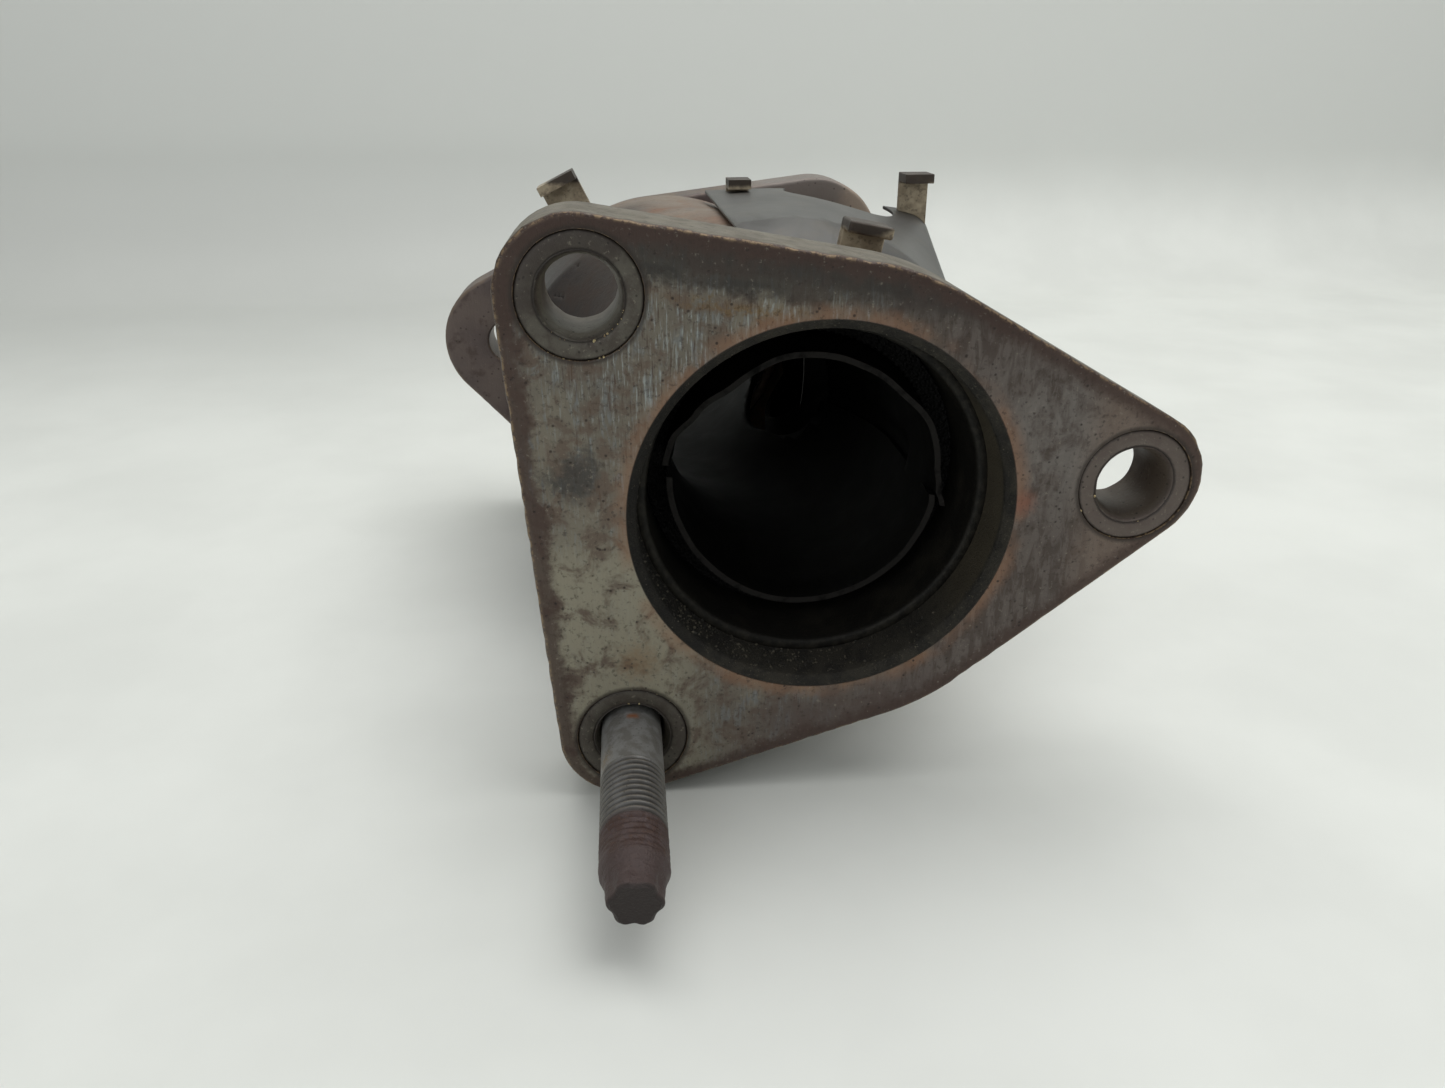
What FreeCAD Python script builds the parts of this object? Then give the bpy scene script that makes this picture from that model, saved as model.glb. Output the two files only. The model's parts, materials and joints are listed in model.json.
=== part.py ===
import FreeCAD, Part
import math
import os
import Sketcher

from FreeCAD import Placement, Rotation, Vector

# A double-walled exhaust tee: a straight run between a front and a rear
# three-bolt flange, and a branch that turns down to a two-bolt flange.
# X is to the right, Y runs back along the front bore, Z is up.
# The origin is the centre of the front bore on the flange's gasket face.

DIMENSIONS = {
    # front flange
    "flange_thick": 13.0,
    "bore_radius": 28.5,
    "bore_mouth": 30.0,
    "bore_mouth_depth": 1.0,
    "bolt_radius": 48.8,
    "corner_angle": 132.35,
    "corner_radius": 11.3,
    "corner_shift": 0.7,
    "nose_radius": 10.9,
    "nose_offset": 0.7,
    "rim_radius": 38.3,
    "rim_offset": 0.1,
    "flange_roll": 3.9,
    # spacer bushes pressed into the front flange
    "bush_radius": 8.95,
    "bush_hole": 5.4,
    "bush_mouth": 6.4,
    "bush_mouth_depth": 2.5,
    "bush_recess": 0.3,
    # stud and its lock nut
    "stud_radius": 5.0,
    "stud_shank": 12.0,
    "stud_groove": 1.0,
    "groove_radius": 4.4,
    "stud_thread": 20.2,
    "thread_radius": 4.92,
    "stud_cone": 1.5,
    "stud_tip": 4.0,
    "tip_radius": 3.8,
    "flute_radius": 1.35,
    "flute_centre": 4.4,
    "nut_across": 16.0,
    "nut_height": 8.0,
    "nut_bevel": 0.8,
    "stud_tail": 2.0,
    # rear flange
    "rear_face": 141.0,
    "rear_x": -19.4,
    "rear_z": 0.0,
    "rear_nose_x": 19.5,
    "rear_nose_z": 21.5,
    "rear_left_x": -59.0,
    "rear_left_z": -1.5,
    "rear_foot_x": -32.0,
    "rear_ear_radius": 16.5,
    "rear_foot_radius": 12.0,
    "rear_rim_radius": 33.0,
    "rear_hole": 5.4,
    # collars, shells and beads
    "collar_radius": 29.0,
    "collar_wall": 2.2,
    "collar_setback": 9.5,
    "front_collar_end": 34.0,
    "rear_collar_end": 118.0,
    "shell_wall": 1.5,
    "neck_length": 5.0,
    "belly_radius": 34.5,
    "belly_front": 43.0,
    "belly_back": 109.0,
    "lip_width": 4.0,
    "lip_front": 42.0,
    "lip_back": 112.0,
    "seam_roll": 10.0,
    "clear_reach": 90.0,
    "bead_leg": 3.2,
    "neck_bead_leg": 1.5,
    "bead_tip": 0.3,
    # inner liner
    "liner_radius": 23.0,
    "liner_wall": 1.0,
    "liner_front": 17.0,
    "liner_back": 129.0,
    "bend_front": 44.0,
    "bend_back": 108.0,
    "lap_width": 3.5,
    "lap_setback": 2.0,
    "mesh_gap": 0.05,
    "mesh_length": 8.0,
    "front_mesh": 24.0,
    "rear_mesh": 119.5,
    # branch
    "branch_x": 20.0,
    "branch_y": 92.0,
    "branch_z": 4.0,
    "branch_radius": 21.0,
    "branch_collar_radius": 21.5,
    "branch_collar_wall": 2.0,
    "branch_liner": 17.0,
    "branch_start": 9.0,
    "window_radius": 18.8,
    "branch_leg_end": -34.6,
    "branch_collar_top": -24.0,
    "branch_collar_end": -46.5,
    "branch_liner_end": -44.0,
    "branch_mesh": -40.0,
    "branch_flange_thick": 10.0,
    "branch_rim_radius": 29.0,
    "branch_bolt_half": 36.0,
    "branch_turn": 78.0,
    "branch_ear_radius": 10.0,
    "branch_hole": 4.5,
    # heat shield and its brackets
    "shield_wall": 0.8,
    "shield_lip": 37.0,
    "shield_shoulder": 45.0,
    "shield_back": 106.0,
    "shield_lip_radius": 33.4,
    "shield_shoulder_radius": 37.6,
    "notch_x": 20.0,
    "notch_y": 101.0,
    "notch_radius": 12.5,
    "strap_wall": 2.0,
    "strap_pad": 5.0,
    "left_strap_x": -34.2,
    "left_strap_y": 100.0,
    "left_strap_foot": 22.0,
    "left_strap_top": 43.0,
    "left_strap_width": 8.5,
    "left_strap_lean": -26.0,
    "middle_strap_x": -3.0,
    "middle_strap_y": 101.0,
    "middle_strap_foot": 28.0,
    "middle_strap_top": 40.4,
    "middle_strap_width": 5.0,
    "middle_strap_lean": 0.0,
    "front_strap_x": 9.0,
    "front_strap_y": 34.3,
    "front_strap_foot": 24.0,
    "front_strap_top": 39.4,
    "front_strap_width": 7.7,
    "front_strap_lean": 11.0,
    "rear_strap_x": 37.6,
    "rear_strap_y": 102.0,
    "rear_strap_foot": 20.0,
    "rear_strap_top": 41.2,
    "rear_strap_width": 6.5,
    "rear_strap_lean": 0.0,
}

doc = FreeCAD.newDocument("exhaust_tee")


def make_sheet():
    """Writes the driving dimensions into the sheet, one alias a row."""
    page = doc.addObject("Spreadsheet::Sheet", "Dims")
    for row, (alias, value) in enumerate(DIMENSIONS.items(), start=1):
        page.set(f"A{row}", alias)
        page.set(f"B{row}", str(value))
        page.setAlias(f"B{row}", alias)
    doc.recompute()
    return page


sheet = make_sheet()


def size(formula):
    """The formula with each dimension's name turned into its sheet cell."""
    words = []
    word = ""
    for letter in formula + " ":
        if letter.isalnum() or letter == "_":
            word += letter
            continue
        words.append("Dims." + word if word in DIMENSIONS else word)
        words.append(letter)
        word = ""
    return "".join(words).strip()


def number(formula):
    """The present value of a formula of dimension names."""
    value = sheet.evalExpression(size(formula))
    return float(getattr(value, "Value", value))


def bind(thing, **formulas):
    """Binds properties of an object to formulas of dimension names."""
    for name, formula in formulas.items():
        thing.setExpression(name.replace("__", "."), size(formula))
    return thing


def place(thing, x="0", y="0", z="0", rotation=None):
    """Puts an object at a bound position, with an optional fixed rotation."""
    if rotation is not None:
        thing.Placement = Placement(Vector(), rotation)
    return bind(thing, Placement__Base__x=x, Placement__Base__y=y, Placement__Base__z=z)


ALONG_Y = Rotation(Vector(1, 0, 0), -90)
FORWARDS = Rotation(Vector(1, 0, 0), 90)
ALONG_X = Rotation(Vector(0, 1, 0), 90)
UPRIGHT = Rotation()
UPSIDE_DOWN = Rotation(Vector(1, 0, 0), 180)
TINY = 0.01
LOBES = 6


# ---- building blocks -------------------------------------------------------

def rod(name, radius, length, x="0", y="0", z="0", rotation=ALONG_Y):
    """A bound cylinder that starts at its position and runs along its own axis."""
    cylinder = doc.addObject("Part::Cylinder", name)
    bind(cylinder, Radius=radius, Height=length)
    return place(cylinder, x, y, z, rotation)


def cone(name, first, second, length, x="0", y="0", z="0", rotation=ALONG_Y):
    frustum = doc.addObject("Part::Cone", name)
    bind(frustum, Radius1=first, Radius2=second, Height=length)
    return place(frustum, x, y, z, rotation)


def ball(name, radius, x, y, z):
    sphere = doc.addObject("Part::Sphere", name)
    bind(sphere, Radius=radius)
    return place(sphere, x, y, z)


def cut(name, base, tool):
    result = doc.addObject("Part::Cut", name)
    result.Base = base
    result.Tool = tool
    return result


def fuse(name, *shapes):
    result = doc.addObject("Part::MultiFuse", name)
    result.Shapes = list(shapes)
    result.Refine = True
    return result


def common(name, *shapes):
    result = doc.addObject("Part::MultiCommon", name)
    result.Shapes = list(shapes)
    return result


def group(name, solids):
    result = doc.addObject("Part::Compound", name)
    result.Links = list(solids)
    return result


def tube(name, outer, inner, length, x="0", y="0", z="0", rotation=ALONG_Y):
    """A round tube: one bound cylinder cut out of another."""
    skin = rod(name + "_skin", outer, length, x, y, z, rotation)
    hollow = rod(name + "_hollow", inner, length, x, y, z, rotation)
    return cut(name, skin, hollow)


def bead(name, radius, leg, x, y, z, rotation):
    """A fillet weld round a tube: a short cone with the tube's own room cut out."""
    body = cone(name + "_body", f"{radius} + {leg}", f"{radius} + bead_tip", leg, x, y, z, rotation)
    room = rod(name + "_room", radius, leg, x, y, z, rotation)
    return cut(name, body, room)


# ---- sketches --------------------------------------------------------------

def origin_plane(body, role):
    for feature in body.Origin.OriginFeatures:
        if feature.Role == role:
            return feature
    raise ValueError(role)


def sketch_on(body, role, name):
    sketch = body.newObject("Sketcher::SketchObject", name)
    sketch.AttachmentSupport = [(origin_plane(body, role), "")]
    sketch.MapMode = "FlatFace"
    return sketch


def bound_constraint(sketch, formula, kind, *places):
    """Adds a size constraint that follows a formula. A coordinate may be zero."""
    value = number(formula)
    index = sketch.addConstraint(Sketcher.Constraint(kind, *places, value))
    sketch.setExpression(f"Constraints[{index}]", size(formula))


def pin_centre(sketch, geometry, x, y):
    """Fixes a circle's or an arc's centre, measured from the sketch's origin."""
    bound_constraint(sketch, x, "DistanceX", -1, 1, geometry, 3)
    bound_constraint(sketch, y, "DistanceY", -1, 1, geometry, 3)


def outer_normal(first, second):
    """The outward normal of the line that rests on two circles, walked anticlockwise."""
    run = Vector(second[0] - first[0], second[1] - first[1], 0)
    lean = (first[2] - second[2]) / run.Length
    ahead = run.normalize()
    right = Vector(ahead.y, -ahead.x, 0)
    return ahead * lean + right * math.sqrt(1 - lean * lean)


def draw_hull(sketch, corners):
    """Draws a belt round the corners, each an (x, y, radius) of formulas."""
    circles = [tuple(number(formula) for formula in corner) for corner in corners]
    count = len(circles)
    normals = [outer_normal(circles[i], circles[(i + 1) % count]) for i in range(count)]
    arcs = []
    lines = []
    for i, (x, y, radius) in enumerate(circles):
        start = math.atan2(normals[i - 1].y, normals[i - 1].x)
        end = math.atan2(normals[i].y, normals[i].x)
        if end < start:
            end += 2 * math.pi
        circle = Part.Circle(Vector(x, y, 0), Vector(0, 0, 1), radius)
        arcs.append(sketch.addGeometry(Part.ArcOfCircle(circle, start, end)))
    for i, (x, y, radius) in enumerate(circles):
        following = circles[(i + 1) % count]
        tail = Vector(x, y, 0) + normals[i] * radius
        head = Vector(following[0], following[1], 0) + normals[i] * following[2]
        lines.append(sketch.addGeometry(Part.LineSegment(tail, head)))
    for i, line in enumerate(lines):
        sketch.addConstraint(Sketcher.Constraint("Tangent", arcs[i], 2, line, 1))
        sketch.addConstraint(Sketcher.Constraint("Tangent", line, 2, arcs[(i + 1) % count], 1))
    for arc, (x, y, radius) in zip(arcs, corners):
        pin_centre(sketch, arc, x, y)
        bound_constraint(sketch, radius, "Radius", arc)


def draw_circle(sketch, x, y, radius):
    circle = Part.Circle(Vector(number(x), number(y), 0), Vector(0, 0, 1), number(radius))
    index = sketch.addGeometry(circle)
    pin_centre(sketch, index, x, y)
    bound_constraint(sketch, radius, "Radius", index)


def plate(name, role, corners, circles, thickness, backwards):
    """A flat plate: a belt outline with round holes, padded to its thickness."""
    body = doc.addObject("PartDesign::Body", name)
    sketch = sketch_on(body, role, name + "_outline")
    draw_hull(sketch, corners)
    for circle in circles:
        draw_circle(sketch, *circle)
    doc.recompute()
    pad = body.newObject("PartDesign::Pad", name + "_pad")
    pad.Profile = sketch
    pad.Reversed = backwards
    bind(pad, Length=thickness)
    doc.recompute()
    return body


def chamfer_holes(body, name, leg, radius):
    """Chamfers the rims of the holes of one radius in a plate's front face."""
    base = body.Tip
    names = []
    for index, edge in enumerate(base.Shape.Edges, start=1):
        curve = edge.Curve
        if not isinstance(curve, Part.Circle):
            continue
        if abs(curve.Center.y) < TINY and abs(curve.Radius - number(radius)) < TINY:
            names.append(f"Edge{index}")
    chamfer = body.newObject("PartDesign::Chamfer", name)
    chamfer.Base = (base, names)
    bind(chamfer, Size=leg)
    doc.recompute()


# ---- places on the flanges -------------------------------------------------

FRONT_HOLES = {
    "nose": "flange_roll",
    "upper": "flange_roll + corner_angle",
    "lower": "flange_roll - corner_angle",
}
# The lowest points of all three flanges lie at one height, so the tee stands level.
GROUND = "(bolt_radius * sin((flange_roll - corner_angle) * 1 deg) - corner_radius)"


def front_hole(which):
    """The X and Z of one of the front flange's three bolt holes."""
    angle = FRONT_HOLES[which]
    return f"bolt_radius * cos(({angle}) * 1 deg)", f"bolt_radius * sin(({angle}) * 1 deg)"


# The X and Z of the rear bolt holes. The foot stands as low as the front flange does.
REAR_NOSE = ("rear_nose_x", "rear_nose_z")
REAR_LEFT = ("rear_left_x", "rear_left_z")
REAR_FOOT = ("rear_foot_x", f"{GROUND} + rear_foot_radius")


def raised(x, z, offset):
    """A point of the front outline that sits a little above its hole or the bore."""
    return f"{x} - {offset} * sin(flange_roll * 1 deg)", f"{z} + {offset} * cos(flange_roll * 1 deg)"


def left_corner(which):
    """A left corner of the front outline, a little further out than its hole."""
    x, z = front_hole(which)
    return f"{x} - corner_shift", z, "corner_radius"


# ---- flanges ---------------------------------------------------------------

def front_flange():
    """A thick plate whose bore has a bevelled mouth and, at its back, a seat for the collar."""
    nose = (*raised(*front_hole("nose"), "nose_offset"), "nose_radius")
    rim = (*raised("0", "0", "rim_offset"), "rim_radius")
    upper = left_corner("upper")
    lower = left_corner("lower")
    holes = [(*front_hole(which), "bush_radius") for which in FRONT_HOLES]
    bore = ("0", "0", "bore_radius")
    body = plate("front_flange_plate", "XZ_Plane", [nose, rim, upper, lower, rim],
                 [bore] + holes, "flange_thick", True)
    chamfer_holes(body, "bush_chamfer", "bush_recess", "bush_radius")
    mouth = cone("front_mouth", "bore_mouth", "bore_radius", "bore_mouth_depth")
    seat = rod("front_seat", "collar_radius", "flange_thick - collar_setback", y="collar_setback")
    cut("front_flange", cut("front_flange_bevelled", body, mouth), seat)


def bush(which):
    """A flush spacer bush with a conical mouth, set just under the gasket face."""
    x, z = front_hole(which)
    name = "bush_" + which
    body = rod(name + "_body", "bush_radius", "flange_thick - bush_recess", x, "bush_recess", z)
    hole = rod(name + "_hole", "bush_hole", "flange_thick", x, "0", z)
    mouth = cone(name + "_mouth", "bush_mouth", "bush_hole", "bush_mouth_depth", x, "0", z)
    return cut(name, body, fuse(name + "_bore", hole, mouth))


def rear_flange():
    nose = (*REAR_NOSE, "rear_ear_radius")
    left = (*REAR_LEFT, "rear_ear_radius")
    foot = (*REAR_FOOT, "rear_foot_radius")
    rim = ("rear_x", "rear_z", "rear_rim_radius")
    holes = [(*centre, "rear_hole") for centre in (REAR_NOSE, REAR_LEFT, REAR_FOOT)]
    bore = ("rear_x", "rear_z", "bore_radius")
    body = plate("rear_flange_plate", "XZ_Plane", [nose, rim, left, foot, rim],
                 [bore] + holes, "flange_thick", True)
    place(body, y="rear_face - flange_thick")
    seat = rod("rear_seat", "collar_radius", "flange_thick - collar_setback",
               "rear_x", "rear_face - flange_thick", "rear_z")
    cut("rear_flange", body, seat)


def branch_flange():
    across = "branch_bolt_half * cos(branch_turn * 1 deg)"
    along = "branch_bolt_half * sin(branch_turn * 1 deg)"
    front_ear = (f"branch_x - {across}", f"branch_y - {along}")
    rear_ear = (f"branch_x + {across}", f"branch_y + {along}")
    rim = ("branch_x", "branch_y", "branch_rim_radius")
    corners = [(*front_ear, "branch_ear_radius"), rim, (*rear_ear, "branch_ear_radius"), rim]
    circles = [
        ("branch_x", "branch_y", "branch_radius"),
        (*front_ear, "branch_hole"),
        (*rear_ear, "branch_hole"),
    ]
    body = plate("branch_flange_plate", "XY_Plane", corners, circles, "branch_flange_thick", False)
    place(body, z=GROUND)
    seat = rod("branch_seat", "branch_collar_radius", "branch_flange_thick",
               "branch_x", "branch_y", "branch_collar_end", UPRIGHT)
    cut("branch_flange", body, seat)


# ---- collars, welds and mesh rings -----------------------------------------

def front_collar():
    length = "front_collar_end - collar_setback"
    return tube("front_collar", "collar_radius", "collar_radius - collar_wall", length,
                y="collar_setback")


def rear_collar():
    length = "rear_face - collar_setback - rear_collar_end"
    return tube("rear_collar", "collar_radius", "collar_radius - collar_wall", length,
                "rear_x", "rear_collar_end", "rear_z")


def branch_collar():
    length = "branch_collar_top - branch_collar_end"
    return tube("branch_collar", "branch_collar_radius", "branch_collar_radius - branch_collar_wall",
                length, "branch_x", "branch_y", "branch_collar_end", UPRIGHT)


def flange_welds():
    """Fillet beads where each collar leaves its flange."""
    bead("front_flange_weld", "collar_radius", "bead_leg", "0", "flange_thick", "0", ALONG_Y)
    bead("rear_flange_weld", "collar_radius", "bead_leg",
         "rear_x", "rear_face - flange_thick", "rear_z", FORWARDS)
    bead("branch_flange_weld", "branch_collar_radius", "bead_leg",
         "branch_x", "branch_y", f"{GROUND} + branch_flange_thick", UPRIGHT)


def neck_welds():
    """Fillet beads where each collar enters a neck of the outer shell."""
    bead("front_neck_weld", "collar_radius", "neck_bead_leg",
         "0", "front_collar_end - neck_length", "0", FORWARDS)
    bead("rear_neck_weld", "collar_radius", "neck_bead_leg",
         "rear_x", "rear_collar_end + neck_length", "rear_z", ALONG_Y)
    bead("branch_neck_weld", "branch_collar_radius", "neck_bead_leg",
         "branch_x", "branch_y", "branch_leg_end", UPSIDE_DOWN)


def mesh_rings():
    """Knitted rings that hold the liners in the collars and let them slide."""
    tube("front_mesh_ring", "collar_radius - collar_wall", "liner_radius + mesh_gap",
         "mesh_length", y="front_mesh")
    tube("rear_mesh_ring", "collar_radius - collar_wall", "liner_radius + mesh_gap",
         "mesh_length", "rear_x", "rear_mesh", "rear_z")
    tube("branch_mesh_ring", "branch_collar_radius - branch_collar_wall",
         "branch_liner + mesh_gap", "mesh_length", "branch_x", "branch_y", "branch_mesh", UPRIGHT)


# ---- the run between the two flanges ----------------------------------------

def run_path(name, start, end):
    """The run's centre line: straight, two equal arcs that shift it sideways, straight."""
    aside = Vector(number("rear_x"), 0, number("rear_z"))
    front = number("bend_front")
    back = number("bend_back")
    half_run = (back - front) / 2
    turn = 2 * math.atan2(aside.Length / 2, half_run)
    radius = half_run / math.sin(turn)
    step = radius * math.sin(turn / 2)
    drift = radius * (1 - math.cos(turn / 2)) / aside.Length

    def point(depth, share):
        return Vector(0, depth, 0) + aside * share

    middle = point((front + back) / 2, 0.5)
    first = Part.Arc(point(front, 0), point(front + step, drift), middle)
    second = Part.Arc(middle, point(back - step, 1 - drift), point(back, 1))
    lead = Part.LineSegment(point(number(start), 0), point(front, 0))
    tail = Part.LineSegment(point(back, 1), point(number(end), 1))
    path = doc.addObject("Part::Feature", name)
    path.Shape = Part.Wire([part.toShape() for part in (lead, first, second, tail)])
    return path


def swept(name, path, start, radius):
    """A round bar that follows a centre line of the run."""
    ring = doc.addObject("Part::Circle", name + "_ring")
    bind(ring, Radius=radius)
    place(ring, "0", start, "0", ALONG_Y)
    sweep = doc.addObject("Part::Sweep", name)
    sweep.Sections = [ring]
    sweep.Spine = (path, ["Edge1", "Edge2", "Edge3", "Edge4"])
    sweep.Solid = True
    sweep.Frenet = False
    return sweep


def elbow(name, radius, start, end):
    """The branch: a level leg, a ball at the turn and a leg that drops to its end."""
    level = rod(name + "_level", radius, f"branch_x - {start}", start, "branch_y", "branch_z", ALONG_X)
    turn = ball(name + "_turn", radius, "branch_x", "branch_y", "branch_z")
    drop = rod(name + "_drop", radius, f"branch_z - ({end})", "branch_x", "branch_y", end, UPRIGHT)
    return fuse(name, level, turn, drop)


def hull_of_shell(name, path, grow):
    """The outer form of the shell, grown by a wall or a lip, necks and branch included."""
    neck = f"collar_radius + {grow}"
    belly = f"belly_radius + {grow}"
    run = swept(name + "_belly", path, "belly_front", belly)
    front = rod(name + "_front", neck, "neck_length", y="front_collar_end - neck_length")
    back = rod(name + "_back", neck, "neck_length", "rear_x", "rear_collar_end", "rear_z")
    flare = cone(name + "_flare", neck, belly, "belly_front - front_collar_end",
                 "0", "front_collar_end", "0")
    taper = cone(name + "_taper", neck, belly, "rear_collar_end - belly_back",
                 "rear_x", "rear_collar_end", "rear_z", FORWARDS)
    branch = elbow(name + "_branch", f"(branch_collar_radius + {grow})", "0", "branch_leg_end")
    return fuse(name, run, front, back, flare, taper, branch)


def slab(name, low, high, front, back):
    """A slab, wider than the tee, between two heights above the leaning seam plane."""
    lean = Rotation(Vector(0, 1, 0), number("seam_roll"))
    box = doc.addObject("Part::Box", name)
    bind(box, Length="2 * clear_reach", Width=f"{back} - ({front})", Height=f"{high} - ({low})")
    corner_x = f"({low}) * sin(seam_roll * 1 deg) - clear_reach * cos(seam_roll * 1 deg)"
    corner_z = f"({low}) * cos(seam_roll * 1 deg) + clear_reach * sin(seam_roll * 1 deg)"
    return place(box, corner_x, front, corner_z, lean)


def outer_shells():
    """Two stamped halves with a flat welded lip along their seam."""
    path = run_path("shell_path", "belly_front", "belly_back")
    solid = hull_of_shell("shell_form", path, "shell_wall")
    hollow = hull_of_shell("shell_hollow", path, "0")
    brim = hull_of_shell("brim_form", path, "lip_width")
    halves = {
        "outer_shell_upper": ("0", "clear_reach", "0", "shell_wall"),
        "outer_shell_lower": ("-clear_reach", "0", "-shell_wall", "0"),
    }
    for name, (low, high, lip_low, lip_high) in halves.items():
        half = common(name + "_half", solid, slab(name + "_space", low, high, "0", "rear_face"))
        layer = slab(name + "_layer", lip_low, lip_high, "lip_front", "lip_back")
        lip = common(name + "_lip", brim, layer)
        cut(name, fuse(name + "_blank", half, lip), hollow)
    return solid


def liner_halves():
    """The gas liner: two half tubes, the upper one lapping over the lower one outside."""
    path = run_path("liner_path", "liner_front", "liner_back")
    outside = swept("liner_outside", path, "liner_front", "liner_radius")
    inside = swept("liner_inside", path, "liner_front", "liner_radius - liner_wall")
    around = swept("liner_around", path, "liner_front", "liner_radius + liner_wall")
    window = elbow("liner_window", "window_radius", "0", "branch_leg_end")
    room = fuse("liner_room", inside, window)
    lower_space = slab("liner_lower_space", "-clear_reach", "0", "0", "rear_face")
    upper_space = slab("liner_upper_space", "0", "clear_reach", "0", "rear_face")
    lower_solid = common("liner_lower_solid", outside, lower_space)
    upper_solid = common("liner_upper_solid", outside, upper_space)
    lap_space = slab("liner_lap_space", "-lap_width", "lap_width / 2",
                     "front_mesh + mesh_length + lap_setback", "rear_mesh - lap_setback")
    lap = common("liner_lap", around, lap_space)
    lapped = fuse("liner_upper_lapped", upper_solid, lap)
    cut("liner_upper", cut("liner_upper_blank", lapped, lower_solid), room)
    cut("liner_lower", lower_solid, room)


def branch_liner():
    """The branch's own liner, which starts short of the run's liner."""
    outside = elbow("branch_liner_outside", "branch_liner", "branch_start", "branch_liner_end")
    inside = elbow("branch_liner_inside", "(branch_liner - liner_wall)",
                   "(branch_x - branch_liner - liner_wall)", "branch_liner_end - liner_wall")
    cut("branch_liner", outside, inside)


# ---- stud and nut -----------------------------------------------------------

def stud():
    """A stud with a six-lobed driving end, held by a lock nut behind the flange."""
    x, z = front_hole("lower")
    tail = "flange_thick + nut_height + stud_tail"
    groove_start = "-stud_shank"
    thread_start = "-(stud_shank + stud_groove)"
    cone_start = "-(stud_shank + stud_groove + stud_thread)"
    tip_start = "-(stud_shank + stud_groove + stud_thread + stud_cone)"
    shank = rod("stud_shank", "stud_radius", f"{tail} + stud_shank", x, tail, z, FORWARDS)
    groove = rod("stud_groove", "groove_radius", "stud_groove", x, groove_start, z, FORWARDS)
    thread = rod("stud_thread", "thread_radius", "stud_thread", x, thread_start, z, FORWARDS)
    shoulder = cone("stud_shoulder", "thread_radius", "tip_radius", "stud_cone",
                    x, cone_start, z, FORWARDS)
    core = rod("stud_tip_core", "tip_radius", "stud_tip", x, tip_start, z, FORWARDS)
    flutes = []
    for index in range(LOBES):
        turn = 360 / LOBES * index
        flute_x = f"{x} + flute_centre * cos({turn} * 1 deg)"
        flute_z = f"{z} + flute_centre * sin({turn} * 1 deg)"
        flutes.append(rod(f"stud_flute{index}", "flute_radius", "stud_tip",
                          flute_x, tip_start, flute_z, FORWARDS))
    tip = cut("stud_tip", core, fuse("stud_flutes", *flutes))
    fuse("flange_stud", shank, groove, thread, shoulder, tip)


def lock_nut():
    x, z = front_hole("lower")
    corner = "nut_across / sqrt(3)"
    prism = doc.addObject("Part::Prism", "nut_prism")
    prism.Polygon = 6
    bind(prism, Circumradius=corner, Height="nut_height")
    place(prism, x, "flange_thick", z, ALONG_Y)
    bevel = cone("nut_bevel", f"{corner} + nut_height", f"{corner} - nut_bevel",
                 "nut_height + nut_bevel", x, "flange_thick", z)
    hole = rod("nut_hole", "stud_radius", "nut_height", x, "flange_thick", z)
    cut("stud_lock_nut", common("nut_blank", prism, bevel), hole)


# ---- heat shield and brackets -----------------------------------------------

# The shield's underside: directions round the bore for its front, and points for its back, both
# from the left edge over to the right flank.
SHIELD_ANGLES = (104, 90, 76, 62, 48, 36, 24, 14)
SHIELD_BACK = (
    (-10.0, 36.6), (2.0, 36.9), (12.0, 36.6), (23.0, 34.6),
    (33.0, 32.6), (39.8, 30.8), (42.8, 25.0), (45.0, 14.0),
)


def round_section(radius):
    turns = [math.radians(angle) for angle in SHIELD_ANGLES]
    return [(radius * math.cos(turn), radius * math.sin(turn)) for turn in turns]


def smooth_curve(points):
    curve = Part.BSplineCurve()
    curve.interpolate(points)
    return curve


def shield_skins(section, y):
    """The shield's underside and its top at one end."""
    points = [Vector(x, y, z) for x, z in section]
    inner = smooth_curve(points)
    top = []
    for point in points:
        tangent = inner.tangent(inner.parameter(point))[0]
        top.append(point + Vector(-tangent.z, 0, tangent.x) * number("shield_wall"))
    return inner, smooth_curve(top)


def through(name, rims):
    """A solid that passes through closed rims of curves, one behind the other."""
    wires = [Part.Wire([curve.toShape() for curve in rim]) for rim in rims]
    piece = doc.addObject("Part::Feature", name)
    piece.Shape = Part.makeLoft(wires, True, True)
    return piece


def heat_shield():
    """A bent hood over the branch with a lip at its front and a notch at its back.

    Gives the hood and the room below its top.
    """
    sections = (
        (round_section(number("shield_lip_radius")), number("shield_lip")),
        (round_section(number("shield_shoulder_radius")), number("shield_shoulder")),
        (SHIELD_BACK, number("shield_back")),
    )
    sheet_rims = []
    room_rims = []
    for section, y in sections:
        inner, top = shield_skins(section, y)
        left_end = Part.LineSegment(inner.StartPoint, top.StartPoint)
        right_end = Part.LineSegment(top.EndPoint, inner.EndPoint)
        sheet_rims.append([left_end, top, right_end, inner])
        corner = Vector(top.StartPoint.x, y, top.EndPoint.z)
        room_rims.append([top, Part.LineSegment(top.EndPoint, corner),
                          Part.LineSegment(corner, top.StartPoint)])
    notch = rod("shield_notch", "notch_radius", "clear_reach", "notch_x", "notch_y", "0", UPRIGHT)
    sheet = cut("notched_shield", through("shield_sheet", sheet_rims), notch)
    return sheet, through("shield_room", room_rims)


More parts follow.
